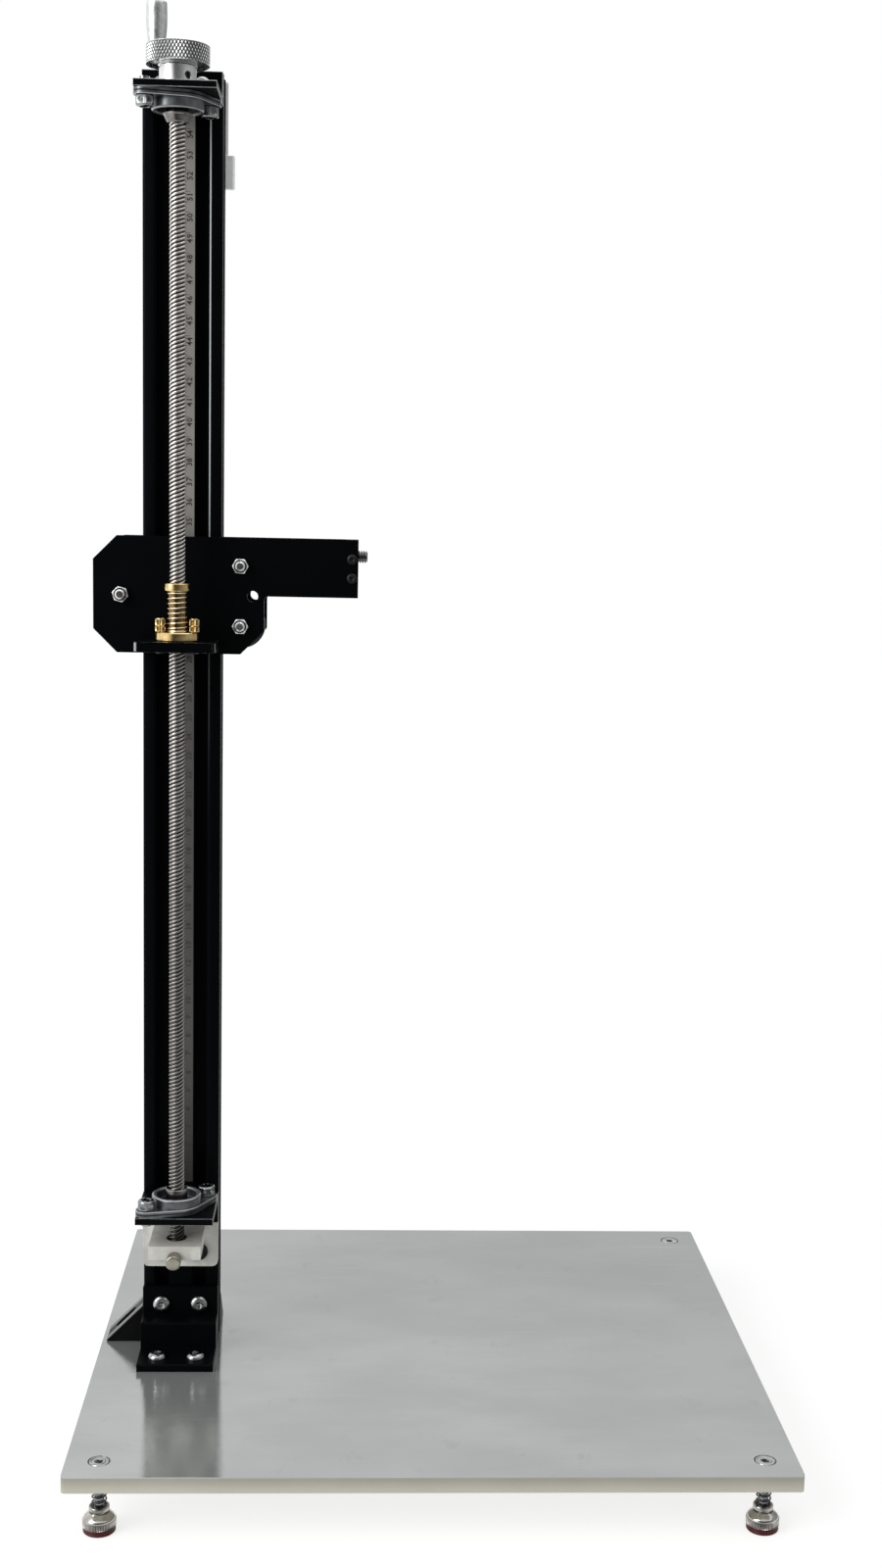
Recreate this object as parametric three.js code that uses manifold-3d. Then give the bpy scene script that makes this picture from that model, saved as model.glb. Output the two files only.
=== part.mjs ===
// Copy stand: a baseboard on four levelling feet, a V-slot column, a hand-turned lead screw
// and a carriage on V-wheels with an arm for a camera.
// Millimetres. X points to the right, Y to the back and Z up.
// The origin is the centre of the baseboard's top face.

import * as THREE from 'three';
import { mergeVertices } from 'three/addons/utils/BufferGeometryUtils.js';
import Module from 'manifold-3d';

const wasm = await Module();
wasm.setup();

// Clearances that the whole stand shares
const faceGap = 0.1;
const runGap = 0.3;
const overrun = 1;
const joinOverlap = 0.2;

// Number of sides of round pieces, by size
const sides = { large: 36, medium: 24, small: 18, tiny: 14 };
const cornerSteps = 3;
const earSteps = 7;

// Machine screws, by thread
const m5 = {
  radius: 2.5, holeRadius: 2.75, tapRadius: 2.2,
  capHeadRadius: 4.25, capHeadHeight: 5, capEdge: 0.4, capSocketRadius: 2.3, capSocketDepth: 2.6,
  buttonHeadRadius: 4.75, buttonHeadHeight: 2.75, buttonTopRadius: 2.4,
  buttonSocketRadius: 1.7, buttonSocketDepth: 1.6,
  nutRadius: 4.62, nutHeight: 4,
};
const m4 = { radius: 2, setRadius: 1.85, setSocketRadius: 1.15, setSocketDepth: 1.6 };
const m3 = {
  radius: 1.5, holeRadius: 1.7, tapRadius: 1.3, buttonHeadRadius: 2.75, buttonHeadHeight: 1.6, edge: 0.7,
};
const cameraThread = {
  radius: 3.175, reach: 4.7, headRadius: 6, headHeight: 4.5, edge: 0.6, socketRadius: 2.8, socketDepth: 2.5,
};

// Baseboard
const board = { width: 350, depth: 320, thickness: 8, cornerRadius: 2, footInset: 16 };

// Levelling foot
const foot = {
  height: 27,
  headRadius: 5.3, headHeight: 2.9, socketRadius: 1.75, socketDepth: 2.2,
  endLift: 4.6,
  padRadius: 7.8, padThickness: 3, padEdge: 0.5,
  rimRadius: 8, rimHeight: 4, rimEdge: 0.35,
  bellHeight: 3.3, bellTopRadius: 4.5, bellSteps: 4,
  collarRadius: 4.95, collarHeight: 2.6, collarEdge: 0.3,
  seatRadius: 4.05, seatDepth: 1.3,
};
const footSpring = { radius: 3.3, wireRadius: 0.4, turns: 6.25 };

// Column: V-slot extrusion, its slots and its two bores
const column = { width: 40, depth: 20, height: 660, inset: 42.5, slotPitch: 20, cornerRadius: 1.5 };
const slot = {
  opening: 9.16, throat: 6.2, lip: 1.8, cavity: 11, shoulder: 3.44, floor: 5.68, depth: 6.1,
};
const core = { boreRadius: 2.1, hollowHalfWidth: 3, hollowWide: 5.5, hollowNeck: 4.1, hollowShoulder: 6.6 };

// Scale strip on the column's front land, from below its zero to a gap under the upper bracket
const scale = { width: 12.5, thickness: 0.5, zeroHeight: 93, below: 2, topGap: 1 };

// Foot angle in front of the column
const footAngle = {
  width: 40, legHeight: 33, footDepth: 37, thickness: 4, rootDepth: 16, rootHeight: 18, edge: 0.8,
  holePitch: 20, legHoleHeight: 23.8, footHoleDepth: 28,
};

// Slotted corner brackets beside and behind the column
const corner = {
  leg: 20, tip: 1, sideWidth: 17, rearWidth: 20, wall: 3, slopeWall: 2.4,
  slotLength: 15, slotWidth: 6.4, holeReach: 9,
};

// Angle brackets that carry the bearings of the lead screw
const bracket = {
  width: 40, depth: 42, thickness: 3.5, legHeight: 16, fillet: 1.5, boreRadius: 8,
  lowerTop: 85.5, holePitch: 20, holeHeight: 8.5,
};

// Flange bearings: an oval housing with the outer race in it, and an inner ring with a sleeve
const bearing = {
  boltPitch: 37, turn: THREE.MathUtils.degToRad(37.7), boltReach: 1.6,
  earRadius: 5.5, flangeRadius: 13.5, flangeThickness: 3.4,
  bodyRadius: 12.75, bodyHeight: 8.2, rimRadius: 10.2, rimEdge: 0.6,
  raceFloor: 0.8, raceTop: 4.4, raceSeatRadius: 9.4, ringWall: 1.9, sleeveWall: 1.5, sleeveEdge: 0.4,
  ringUnder: 0.6, lowerSleeveHeight: 11.2, upperSleeveHeight: 13.6,
  lockWall: 3.1, lockStart: 9, lockStraight: 1.4,
};

// Lead screw, from below the lock block's shelf to just under the handwheel's top
const leadScrew = { radius: 4, offset: 26, below: 2.2, sunk: 1, chamfer: 0.8 };

// White block that guides the end of the lead screw, and its thumb screw
const lock = {
  width: 40, thickness: 4, bottom: 45, cornerRadius: 3,
  shelfWidth: 27, shelfDepth: 39, shelfThickness: 7.2, lugRadius: 3.5, lugRise: 0.8,
  holePitch: 20, holeHeight: 53.4, thumbRadius: 3.8, thumbLength: 7.2, thumbEdge: 0.3,
};

// Handwheel, its set screw and its revolving handle
const wheel = {
  lift: 0.5, hubRadius: 9.05, hubHeight: 8.4, hubEdge: 0.4, beadRadius: 9.6, beadHeight: 0.8, rimBottom: 9,
  rimTop: 18, rimRadius: 15.45, rimEdge: 0.45, underDepth: 1.3, underRadius: 13.6,
  setHeight: 3.3, setAngle: THREE.MathUtils.degToRad(-52.5),
};
const handle = {
  orbit: 11, angle: THREE.MathUtils.degToRad(161), height: 20, lift: 1,
  footRadius: 4.1, bellyRadius: 5.15, topRadius: 4.95, bellyShare: 0.66, edge: 0.5, steps: 7,
  boreRadius: 2.3, recessRadius: 3.4, recessDepth: 1.5,
  pinRadius: 2, pinHeadRadius: 3.1, pinHeadHeight: 1.1,
  pinShoulderRadius: 3.3, pinEndRadius: 1.7, pinEndDepth: 6,
};

// Carriage plates, in front of and behind the column
const carriage = {
  height: 403.5, left: 44.3, right: 42.3, halfHeight: 29.6, chamfer: 12, armEnd: 90, armHeight: 29.5,
  armCornerRadius: 2, plateThickness: 3, gap: 29,
  spareHoleRadius: 2.85, spareHoleX: 36.4, endHoleInset: 3.2, endHolePitch: 9.6,
};

// V-wheels, their sleeves and bolts
const vWheel = {
  axleX: 30.3, axlePitch: 30.5, tipRadius: 11.95, width: 10.6, boreRadius: 5.2,
  recessRadius: 7.6, recessDepth: 0.6, sleeveRadius: 4.9, sleeveBore: 2.8, boltEnd: 1.6,
};

// Nut bracket and the sprung nut on it
const nutBracket = { width: 40, depth: 34.4, thickness: 5, drop: 27, corner: 1.5, boreGap: 1.3 };
const nut = {
  flangeHeight: 4.2, barrelWall: 0.4, barrelTop: 15.8, partGap: 0.8,
  collarBottom: 24.6, collarTop: 28.4, collarRim: 1.9, edge: 0.35,
  knurlRadius: 2.6, knurlHeight: 6.7, holeCount: 4,
};
const nutSpring = { inside: 0.45, outside: 0.05, wireRadius: 0.3, turns: 9.25 };

// Block at the arm's end
const endBlock = { thickness: 6.4, screwRise: 20.8, screwGap: 0.25, tapDepth: 8 };

// Pale clip behind the column's right edge, this far under its top, and the strip that it holds
const clip = { drop: 52, height: 16.5, reach: 4.5, grip: 6, thickness: 3.9, edge: 0.8 };
const backStrip = { width: 4, thickness: 0.8, outside: 1.2 };

// Curls of the springs, as the tube's steps and sides
const curl = { steps: 8, sides: 5 };

// Colours, roughness and metalness of the finishes
const finishes = {
  boardAluminium: [0xb4b7b4, 0.42, 0.8],
  blackAnodised: [0x111214, 0.45, 0.3],
  blackPaint: [0x0d0e10, 0.5, 0.1],
  blackPlastic: [0x0b0b0c, 0.55, 0],
  steel: [0xa9a8a4, 0.3, 0.9],
  screwSteel: [0x9a948c, 0.32, 0.9],
  springSteel: [0x4a4c50, 0.35, 0.8],
  nickel: [0xbfbbb2, 0.25, 0.9],
  zinc: [0x6f7376, 0.5, 0.6],
  brass: [0xc7a45c, 0.3, 0.9],
  satinAluminium: [0xd4d5d6, 0.4, 0.7],
  whitePlastic: [0xd9d9d4, 0.5, 0],
  paleClip: [0xcfd3d2, 0.3, 0],
  scaleGrey: [0xb9b6ac, 0.4, 0.5],
  padRed: [0x5a1c22, 0.6, 0],
};

// Booleans

function toSolid(geometry) {
  const bare = geometry.clone();
  bare.deleteAttribute('normal');
  bare.deleteAttribute('uv');
  const merged = mergeVertices(bare);
  const index = merged.index.array;
  const kept = [];
  for (let i = 0; i < index.length; i += 3) {
    const [a, b, c] = [index[i], index[i + 1], index[i + 2]];
    if (a !== b && b !== c && c !== a) kept.push(a, b, c);
  }
  return new wasm.Manifold(new wasm.Mesh({
    numProp: 3,
    vertProperties: new Float32Array(merged.attributes.position.array),
    triVerts: new Uint32Array(kept),
  }));
}

function toGeometry(solid) {
  const mesh = solid.getMesh();
  const geometry = new THREE.BufferGeometry();
  geometry.setAttribute('position', new THREE.BufferAttribute(mesh.vertProperties, 3));
  geometry.setIndex(new THREE.BufferAttribute(mesh.triVerts, 1));
  return geometry;
}

function cut(body, ...cutters) {
  return toGeometry(cutters.reduce((solid, cutter) => solid.subtract(toSolid(cutter)), toSolid(body)));
}

function join(first, ...others) {
  return toGeometry(others.reduce((solid, other) => solid.add(toSolid(other)), toSolid(first)));
}

// Basic forms. Each stands on Z = 0 and is centred on the Z axis unless its comment says otherwise.

function block(width, depth, height) {
  return new THREE.BoxGeometry(width, depth, height).translate(0, 0, height / 2);
}

function rod(radius, length, count) {
  return new THREE.CylinderGeometry(radius, radius, length, count)
    .rotateX(Math.PI / 2)
    .translate(0, 0, length / 2);
}

// A closed outline of [radius, height] pairs, listed up its outside, turned about the Z axis
function turned(outline, count) {
  const points = outline.map(([radius, height]) => new THREE.Vector2(radius, height));
  if (outline[0][0] > 0) points.push(points[0].clone());
  return new THREE.LatheGeometry(points, count).rotateX(Math.PI / 2);
}

function outlineOf(points) {
  return new THREE.Shape(points.map(([x, y]) => new THREE.Vector2(x, y)));
}

function circleHole(x, y, radius, count) {
  const points = [];
  for (let i = 0; i < count; i += 1) {
    const angle = (2 * Math.PI * i) / count;
    points.push(new THREE.Vector2(x + radius * Math.cos(angle), y + radius * Math.sin(angle)));
  }
  return new THREE.Path(points);
}

function slab(shape, thickness) {
  return new THREE.ExtrudeGeometry(shape, { depth: thickness, bevelEnabled: false });
}

// A slab drawn as seen from the front, with its front face on Y = 0 and its thickness behind it
function standingSlab(shape, thickness) {
  return slab(shape, thickness).rotateX(Math.PI / 2).translate(0, thickness, 0);
}

// A profile drawn as [distance to the front, height] and swept along X, centred on X = 0
function sideProfile(points, width) {
  const turn = new THREE.Matrix4().makeBasis(
    new THREE.Vector3(0, -1, 0),
    new THREE.Vector3(0, 0, 1),
    new THREE.Vector3(-1, 0, 0),
  );
  return slab(outlineOf(points), width).applyMatrix4(turn).translate(width / 2, 0, 0);
}

// Turns a form that runs up the Z axis so that it runs to the front, to the back or to the right
const toFront = (geometry) => geometry.rotateX(Math.PI / 2);
const toBack = (geometry) => geometry.rotateX(-Math.PI / 2);
const toRight = (geometry) => geometry.rotateY(Math.PI / 2);

function arcPoints(centreX, centreY, radius, from, to, steps) {
  const points = [];
  for (let i = 0; i <= steps; i += 1) {
    const angle = from + ((to - from) * i) / steps;
    points.push([centreX + radius * Math.cos(angle), centreY + radius * Math.sin(angle)]);
  }
  return points;
}

// A quarter circle, the first of the four from 0 to 90 degrees
function quarterPoints(centreX, centreY, radius, quarter) {
  const from = (quarter * Math.PI) / 2;
  return arcPoints(centreX, centreY, radius, from, from + Math.PI / 2, cornerSteps);
}

// A compression spring round the Z axis with both ends straight for one wire diameter

function spring({ radius, wireRadius, turns }, length) {
  const stub = 2 * wireRadius;
  const steps = Math.round(turns * curl.steps);
  const rise = (length - 2 * stub) / steps;
  const stations = [{ angle: 0, z: 0, straight: 1 }];
  for (let i = 0; i <= steps; i += 1) {
    const atEnd = i === 0 || i === steps;
    stations.push({ angle: (2 * Math.PI * i) / curl.steps, z: stub + rise * i, straight: atEnd ? 0.5 : 0 });
  }
  stations.push({ angle: (2 * Math.PI * steps) / curl.steps, z: length, straight: 1 });
  const chord = (2 * Math.PI * radius) / curl.steps;
  const slope = Math.atan2(rise, chord);
  const positions = [];
  const centres = [];
  for (const { angle, z, straight } of stations) {
    const outward = new THREE.Vector3(Math.cos(angle), Math.sin(angle), 0);
    const along = new THREE.Vector3(-Math.sin(angle), Math.cos(angle), 0);
    const climb = slope + (Math.PI / 2 - slope) * straight;
    const tangent = along.multiplyScalar(Math.cos(climb)).add(new THREE.Vector3(0, 0, Math.sin(climb)));
    const side = tangent.clone().cross(outward);
    const centre = outward.clone().multiplyScalar(radius).setZ(z);
    centres.push(centre);
    for (let k = 0; k < curl.sides; k += 1) {
      const turn = (2 * Math.PI * k) / curl.sides;
      const point = centre.clone()
        .addScaledVector(outward, wireRadius * Math.cos(turn))
        .addScaledVector(side, wireRadius * Math.sin(turn));
      positions.push(point.x, point.y, point.z);
    }
  }
  const index = [];
  for (let i = 0; i + 1 < stations.length; i += 1) {
    for (let k = 0; k < curl.sides; k += 1) {
      const next = (k + 1) % curl.sides;
      const [a, b] = [i * curl.sides + k, i * curl.sides + next];
      index.push(a, b, b + curl.sides, a, b + curl.sides, a + curl.sides);
    }
  }
  const last = (stations.length - 1) * curl.sides;
  for (let k = 1; k + 1 < curl.sides; k += 1) {
    index.push(0, k + 1, k, last, last + k, last + k + 1);
  }
  const geometry = new THREE.BufferGeometry();
  geometry.setAttribute('position', new THREE.Float32BufferAttribute(positions, 3));
  geometry.setIndex(index);
  const gap = leastGap(centres, wireRadius);
  console.log(`spring of radius ${radius}: least gap to itself ${gap.toFixed(2)} mm`);
  return geometry;
}

// The least gap between points of the wire half a curl or more apart
function leastGap(centres, wireRadius) {
  let least = Infinity;
  for (let i = 0; i < centres.length; i += 1) {
    for (let j = i + curl.steps / 2; j < centres.length; j += 1) {
      least = Math.min(least, centres[i].distanceTo(centres[j]) - 2 * wireRadius);
    }
  }
  return least;
}

// Screws, each with its head's underside at Z = 0, its head above and its shank below

function capScrew(thread, shankLength) {
  const { radius, capHeadRadius, capHeadHeight, capEdge, capSocketRadius, capSocketDepth } = thread;
  const body = turned([
    [0, -shankLength],
    [radius, -shankLength],
    [radius, 0],
    [capHeadRadius, 0],
    [capHeadRadius, capHeadHeight - capEdge],
    [capHeadRadius - capEdge, capHeadHeight],
    [0, capHeadHeight],
  ], sides.tiny);
  const socket = rod(capSocketRadius, capSocketDepth + overrun, 6)
    .translate(0, 0, capHeadHeight - capSocketDepth);
  return cut(body, socket);
}

// Places that several pieces share

const boardUnder = -board.thickness;
const floorLevel = boardUnder - foot.height;
const footX = board.width / 2 - board.footInset;
const footY = board.depth / 2 - board.footInset;
const columnX = column.inset - board.width / 2;
const upperUnder = column.height - bracket.legHeight;
const upperTop = upperUnder + bracket.thickness;
const lockTop = bracket.lowerTop - bracket.legHeight - faceGap;
const wheelBase = upperTop + wheel.lift;
const screwBottom = lockTop - lock.shelfThickness - leadScrew.below;
const screwTop = wheelBase + wheel.rimTop - leadScrew.sunk;
const bearingBoltX = bearing.boltPitch / 2;
const ringBore = leadScrew.radius + faceGap;
const ringRadius = ringBore + bearing.ringWall;
const nutBore = leadScrew.radius + runGap;
const barrelRadius = nutBore + nut.barrelWall;
const coilRadius = barrelRadius + nutSpring.inside + nutSpring.wireRadius;
const nutScrewX = coilRadius + nutSpring.wireRadius + nutSpring.outside + nut.knurlRadius;
const thumbHeight = lockTop - lock.shelfThickness + lock.lugRise;
const footPlaces = [
  ['front_left', -1, -1],
  ['front_right', 1, -1],
  ['back_left', -1, 1],
  ['back_right', 1, 1],
];
const axles = [
  ['left', -vWheel.axleX, 0],
  ['upper_right', vWheel.axleX, vWheel.axlePitch / 2],
  ['lower_right', vWheel.axleX, -vWheel.axlePitch / 2],
];
const armMiddle = carriage.halfHeight - carriage.armHeight / 2;
const endHoleHeights = [armMiddle - carriage.endHolePitch / 2, armMiddle + carriage.endHolePitch / 2];
const handleX = handle.orbit * Math.cos(handle.angle);
const handleY = handle.orbit * Math.sin(handle.angle);
const plateFrontOffset = (carriage.gap - column.depth) / 2 + carriage.plateThickness;
const screwFromPlate = plateFrontOffset - leadScrew.offset;

// Baseboard and levelling feet

function footScrewHole(clearance) {
  return turned([
    [0, boardUnder - overrun],
    [m5.radius + clearance, boardUnder - overrun],
    [m5.radius + clearance, -foot.headHeight],
    [foot.headRadius + clearance, 0],
    [foot.headRadius + clearance, overrun],
    [0, overrun],
  ], sides.small);
}

function makeBoard() {
  const x = board.width / 2 - board.cornerRadius;
  const y = board.depth / 2 - board.cornerRadius;
  const plan = outlineOf([
    ...quarterPoints(x, y, board.cornerRadius, 0),
    ...quarterPoints(-x, y, board.cornerRadius, 1),
    ...quarterPoints(-x, -y, board.cornerRadius, 2),
    ...quarterPoints(x, -y, board.cornerRadius, 3),
  ]);
  const taps = [
    [columnX - footAngle.holePitch / 2, -column.depth / 2 - footAngle.footHoleDepth],
    [columnX + footAngle.holePitch / 2, -column.depth / 2 - footAngle.footHoleDepth],
    [columnX - column.width / 2 - corner.holeReach, 0],
    [columnX + column.slotPitch / 2, column.depth / 2 + corner.holeReach],
  ];
  for (const [tapX, tapY] of taps) plan.holes.push(circleHole(tapX, tapY, m5.tapRadius, sides.tiny));
  const holes = footPlaces.map(([, signX, signY]) => (
    footScrewHole(faceGap).translate(signX * footX, signY * footY, 0)
  ));
  return cut(slab(plan, board.thickness).translate(0, 0, boardUnder), ...holes);
}

function makeFootScrew() {
  const end = floorLevel + foot.padThickness + foot.endLift;
  const body = turned([
    [0, end],
    [m5.radius, end],
    [m5.radius, -foot.headHeight],
    [foot.headRadius, 0],
    [0, 0],
  ], sides.small);
  const socket = rod(foot.socketRadius, foot.socketDepth + overrun, 6).translate(0, 0, -foot.socketDepth);
  return cut(body, socket);
}

function makeFootNut() {
  const bore = m5.radius + runGap;
  const rimTop = foot.rimHeight - foot.rimEdge;
  const collarBase = foot.rimHeight + foot.bellHeight;
  const collarTop = collarBase + foot.collarHeight;
  const bell = arcPoints(0, 0, 1, 0, Math.PI / 2, foot.bellSteps).map(([across, up]) => [
    foot.bellTopRadius + (foot.rimRadius - foot.rimEdge - foot.bellTopRadius) * across,
    foot.rimHeight + foot.bellHeight * up,
  ]);
  return turned([
    [bore, 0],
    [foot.rimRadius - foot.rimEdge, 0],
    [foot.rimRadius, foot.rimEdge],
    [foot.rimRadius, rimTop],
    ...bell,
    [foot.collarRadius, collarBase + foot.collarEdge],
    [foot.collarRadius, collarTop - foot.collarEdge],
    [foot.collarRadius - foot.collarEdge, collarTop],
    [foot.seatRadius, collarTop],
    [foot.seatRadius, collarTop - foot.seatDepth],
    [bore, collarTop - foot.seatDepth],
  ], sides.small);
}

function makeFootPad() {
  return turned([
    [0, 0],
    [foot.padRadius - foot.padEdge, 0],
    [foot.padRadius, foot.padEdge],
    [foot.padRadius, foot.padThickness],
    [0, foot.padThickness],
  ], sides.small);
}

// Column and what is fixed to it

function slotPoints() {
  const half = [
    [slot.opening / 2, 0],
    [slot.throat / 2, (slot.opening - slot.throat) / 2],
    [slot.throat / 2, slot.lip],
    [slot.cavity / 2, slot.lip],
    [slot.cavity / 2, slot.shoulder],
    [slot.floor / 2, slot.depth],
  ];
  return [...half.map(([along, inward]) => [-along, inward]), ...half.reverse()];
}

function makeColumn() {
  const halfWidth = column.width / 2;
  const halfDepth = column.depth / 2;
  const halfPitch = column.slotPitch / 2;
  const faces = [
    { x: 0, y: -halfDepth, slots: [-halfPitch, halfPitch] },
    { x: halfWidth, y: 0, slots: [0] },
    { x: 0, y: halfDepth, slots: [-halfPitch, halfPitch] },
    { x: -halfWidth, y: 0, slots: [0] },
  ];
  const cornerX = halfWidth - column.cornerRadius;
  const cornerY = halfDepth - column.cornerRadius;
  const corners = [[cornerX, -cornerY], [cornerX, cornerY], [-cornerX, cornerY], [-cornerX, -cornerY]];
  const points = [];
  faces.forEach((face, i) => {
    const turn = (i * Math.PI) / 2;
    const [cos, sin] = [Math.round(Math.cos(turn)), Math.round(Math.sin(turn))];
    for (const place of face.slots) {
      for (const [along, inward] of slotPoints()) {
        const across = place + along;
        points.push([face.x + across * cos - inward * sin, face.y + across * sin + inward * cos]);
      }
    }
    points.push(...quarterPoints(...corners[i], column.cornerRadius, i - 1));
  });
  const section = outlineOf(points);
  const neckY = halfDepth - core.hollowNeck;
  const shoulderY = halfDepth - core.hollowShoulder;
  const topY = halfDepth - slot.lip;
  section.holes.push(
    circleHole(-halfPitch, 0, core.boreRadius, sides.tiny),
    circleHole(halfPitch, 0, core.boreRadius, sides.tiny),
    outlineOf([
      [-core.hollowHalfWidth, -topY], [core.hollowHalfWidth, -topY], [core.hollowHalfWidth, -neckY],
      [core.hollowWide, -shoulderY], [core.hollowWide, shoulderY], [core.hollowHalfWidth, neckY],
      [core.hollowHalfWidth, topY], [-core.hollowHalfWidth, topY], [-core.hollowHalfWidth, neckY],
      [-core.hollowWide, shoulderY], [-core.hollowWide, -shoulderY], [-core.hollowHalfWidth, -neckY],
    ]),
  );
  return slab(section, column.height - faceGap);
}

function makeFootAngle() {
  const { footDepth, thickness, rootDepth, rootHeight, legHeight, edge, holePitch } = footAngle;
  const body = sideProfile([
    [0, 0],
    [footDepth, 0],
    [footDepth, thickness - edge],
    [footDepth - edge, thickness],
    [rootDepth, thickness],
    [rootDepth, rootHeight - edge],
    [rootDepth - edge, rootHeight],
    [thickness, rootHeight],
    [thickness, legHeight],
    [0, legHeight],
  ], footAngle.width);
  const holes = [-holePitch / 2, holePitch / 2].flatMap((x) => [
    rod(m5.holeRadius, thickness + 2 * overrun, sides.tiny).translate(x, -footAngle.footHoleDepth, -overrun),
    toFront(rod(m5.holeRadius, thickness + 2 * overrun, sides.tiny))
      .translate(x, overrun, footAngle.legHoleHeight),
  ]);
  return cut(body, ...holes);
}

function makeCornerBracket(width) {
  const { leg, tip, wall, slopeWall, slotLength, slotWidth, holeReach } = corner;
  const body = sideProfile([[0, 0], [leg, 0], [leg, tip], [tip, leg], [0, leg]], width);
  const inner = leg + tip - slopeWall * Math.SQRT2 - wall;
  const cavity = sideProfile([[wall, wall], [inner, wall], [wall, inner]], width - 2 * wall);
  const end = (slotLength - slotWidth) / 2;
  const opening = outlineOf([
    ...quarterPoints(0, end, slotWidth / 2, 0),
    ...quarterPoints(0, end, slotWidth / 2, 1),
    ...quarterPoints(0, -end, slotWidth / 2, 2),
    ...quarterPoints(0, -end, slotWidth / 2, 3),
  ]);
  const middle = (leg + tip) / 2;
  const slopeSlot = slab(opening, slopeWall + 2 * overrun)
    .translate(0, 0, -slopeWall - overrun)
    .rotateX(Math.PI / 4)
    .translate(0, -middle, middle);
  const boardHole = rod(m5.holeRadius, wall + 2 * overrun, sides.tiny).translate(0, -holeReach, -overrun);
  const columnHole = toFront(rod(m5.holeRadius, wall + 2 * overrun, sides.tiny))
    .translate(0, overrun, holeReach);
  return cut(body, cavity, slopeSlot, boardHole, columnHole);
}

// Bearing brackets and bearings. side is 1 where the leg stands up and -1 where it hangs down.

function makeBearingBracket(side) {
  const { depth, thickness, legHeight, fillet, holePitch, holeHeight } = bracket;
  const middle = thickness + fillet;
  const inner = arcPoints(middle, middle, fillet, 1.5 * Math.PI, Math.PI, cornerSteps);
  const points = [[0, 0], [depth, 0], [depth, thickness], ...inner, [thickness, legHeight], [0, legHeight]];
  const body = sideProfile(points.map(([out, up]) => [out, side * up]), bracket.width);
  const through = thickness + 2 * overrun;
  const lowest = side > 0 ? -overrun : -thickness - overrun;
  const cutters = [rod(bracket.boreRadius, through, sides.small).translate(0, -leadScrew.offset, lowest)];
  for (const end of [-1, 1]) {
    const x = end * bearingBoltX * Math.cos(bearing.turn);
    const y = end * bearingBoltX * Math.sin(bearing.turn) - leadScrew.offset;
    cutters.push(
      rod(m5.holeRadius, through, sides.tiny).translate(x, y, lowest),
      toFront(rod(m5.holeRadius, through, sides.tiny))
        .translate((end * holePitch) / 2, overrun, side * holeHeight),
    );
  }
  return cut(body, ...cutters);
}

// The housing stands on its mounting face, with the ring up and its ears along X

function makeBearingHousing() {
  const b = bearing;
  const tangent = Math.acos((b.flangeRadius - b.earRadius) / bearingBoltX);
  const plan = outlineOf([
    ...arcPoints(bearingBoltX, 0, b.earRadius, -tangent, tangent, earSteps),
    ...arcPoints(0, 0, b.flangeRadius, tangent, Math.PI - tangent, earSteps),
    ...arcPoints(-bearingBoltX, 0, b.earRadius, Math.PI - tangent, Math.PI + tangent, earSteps),
    ...arcPoints(0, 0, b.flangeRadius, Math.PI + tangent, 2 * Math.PI - tangent, earSteps),
  ]);
  plan.holes.push(
    circleHole(0, 0, b.bodyRadius - joinOverlap, sides.medium),
    circleHole(-bearingBoltX, 0, m5.holeRadius, sides.tiny),
    circleHole(bearingBoltX, 0, m5.holeRadius, sides.tiny),
  );
  const bore = ringRadius + runGap;
  const body = turned([
    [bore, b.raceFloor],
    [b.raceSeatRadius, b.raceFloor],
    [b.raceSeatRadius, 0],
    [b.bodyRadius, 0],
    [b.bodyRadius, b.bodyHeight - b.rimEdge],
    [b.bodyRadius - b.rimEdge, b.bodyHeight],
    [b.rimRadius + b.rimEdge, b.bodyHeight],
    [b.rimRadius, b.bodyHeight - b.rimEdge],
    [b.rimRadius, b.raceTop],
    [bore, b.raceTop],
  ], sides.medium);
  return join(slab(plan, b.flangeThickness), body);
}

function makeBearingRing(sleeveHeight, hasLockCollar) {
  const b = bearing;
  const sleeveRadius = ringBore + b.sleeveWall;
  const lockRadius = ringBore + b.lockWall;
  const lockCollar = hasLockCollar
    ? [[sleeveRadius, b.lockStart], [lockRadius, b.lockStart], [lockRadius, b.lockStart + b.lockStraight]]
    : [];
  return turned([
    [ringBore, -b.ringUnder],
    [ringRadius, -b.ringUnder],
    [ringRadius, b.raceTop],
    [sleeveRadius, b.raceTop + b.sleeveEdge],
    ...lockCollar,
    [sleeveRadius, sleeveHeight - b.sleeveEdge],
    [sleeveRadius - b.sleeveEdge, sleeveHeight],
    [ringBore, sleeveHeight],
  ], sides.small);
}

// Lead screw, handwheel and lock block

function makeLeadScrew() {
  const { radius, chamfer } = leadScrew;
  return turned([
    [0, screwBottom],
    [radius - chamfer, screwBottom],
    [radius, screwBottom + chamfer],
    [radius, screwTop - chamfer],
    [radius - chamfer, screwTop],
    [0, screwTop],
  ], sides.small);
}

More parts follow.
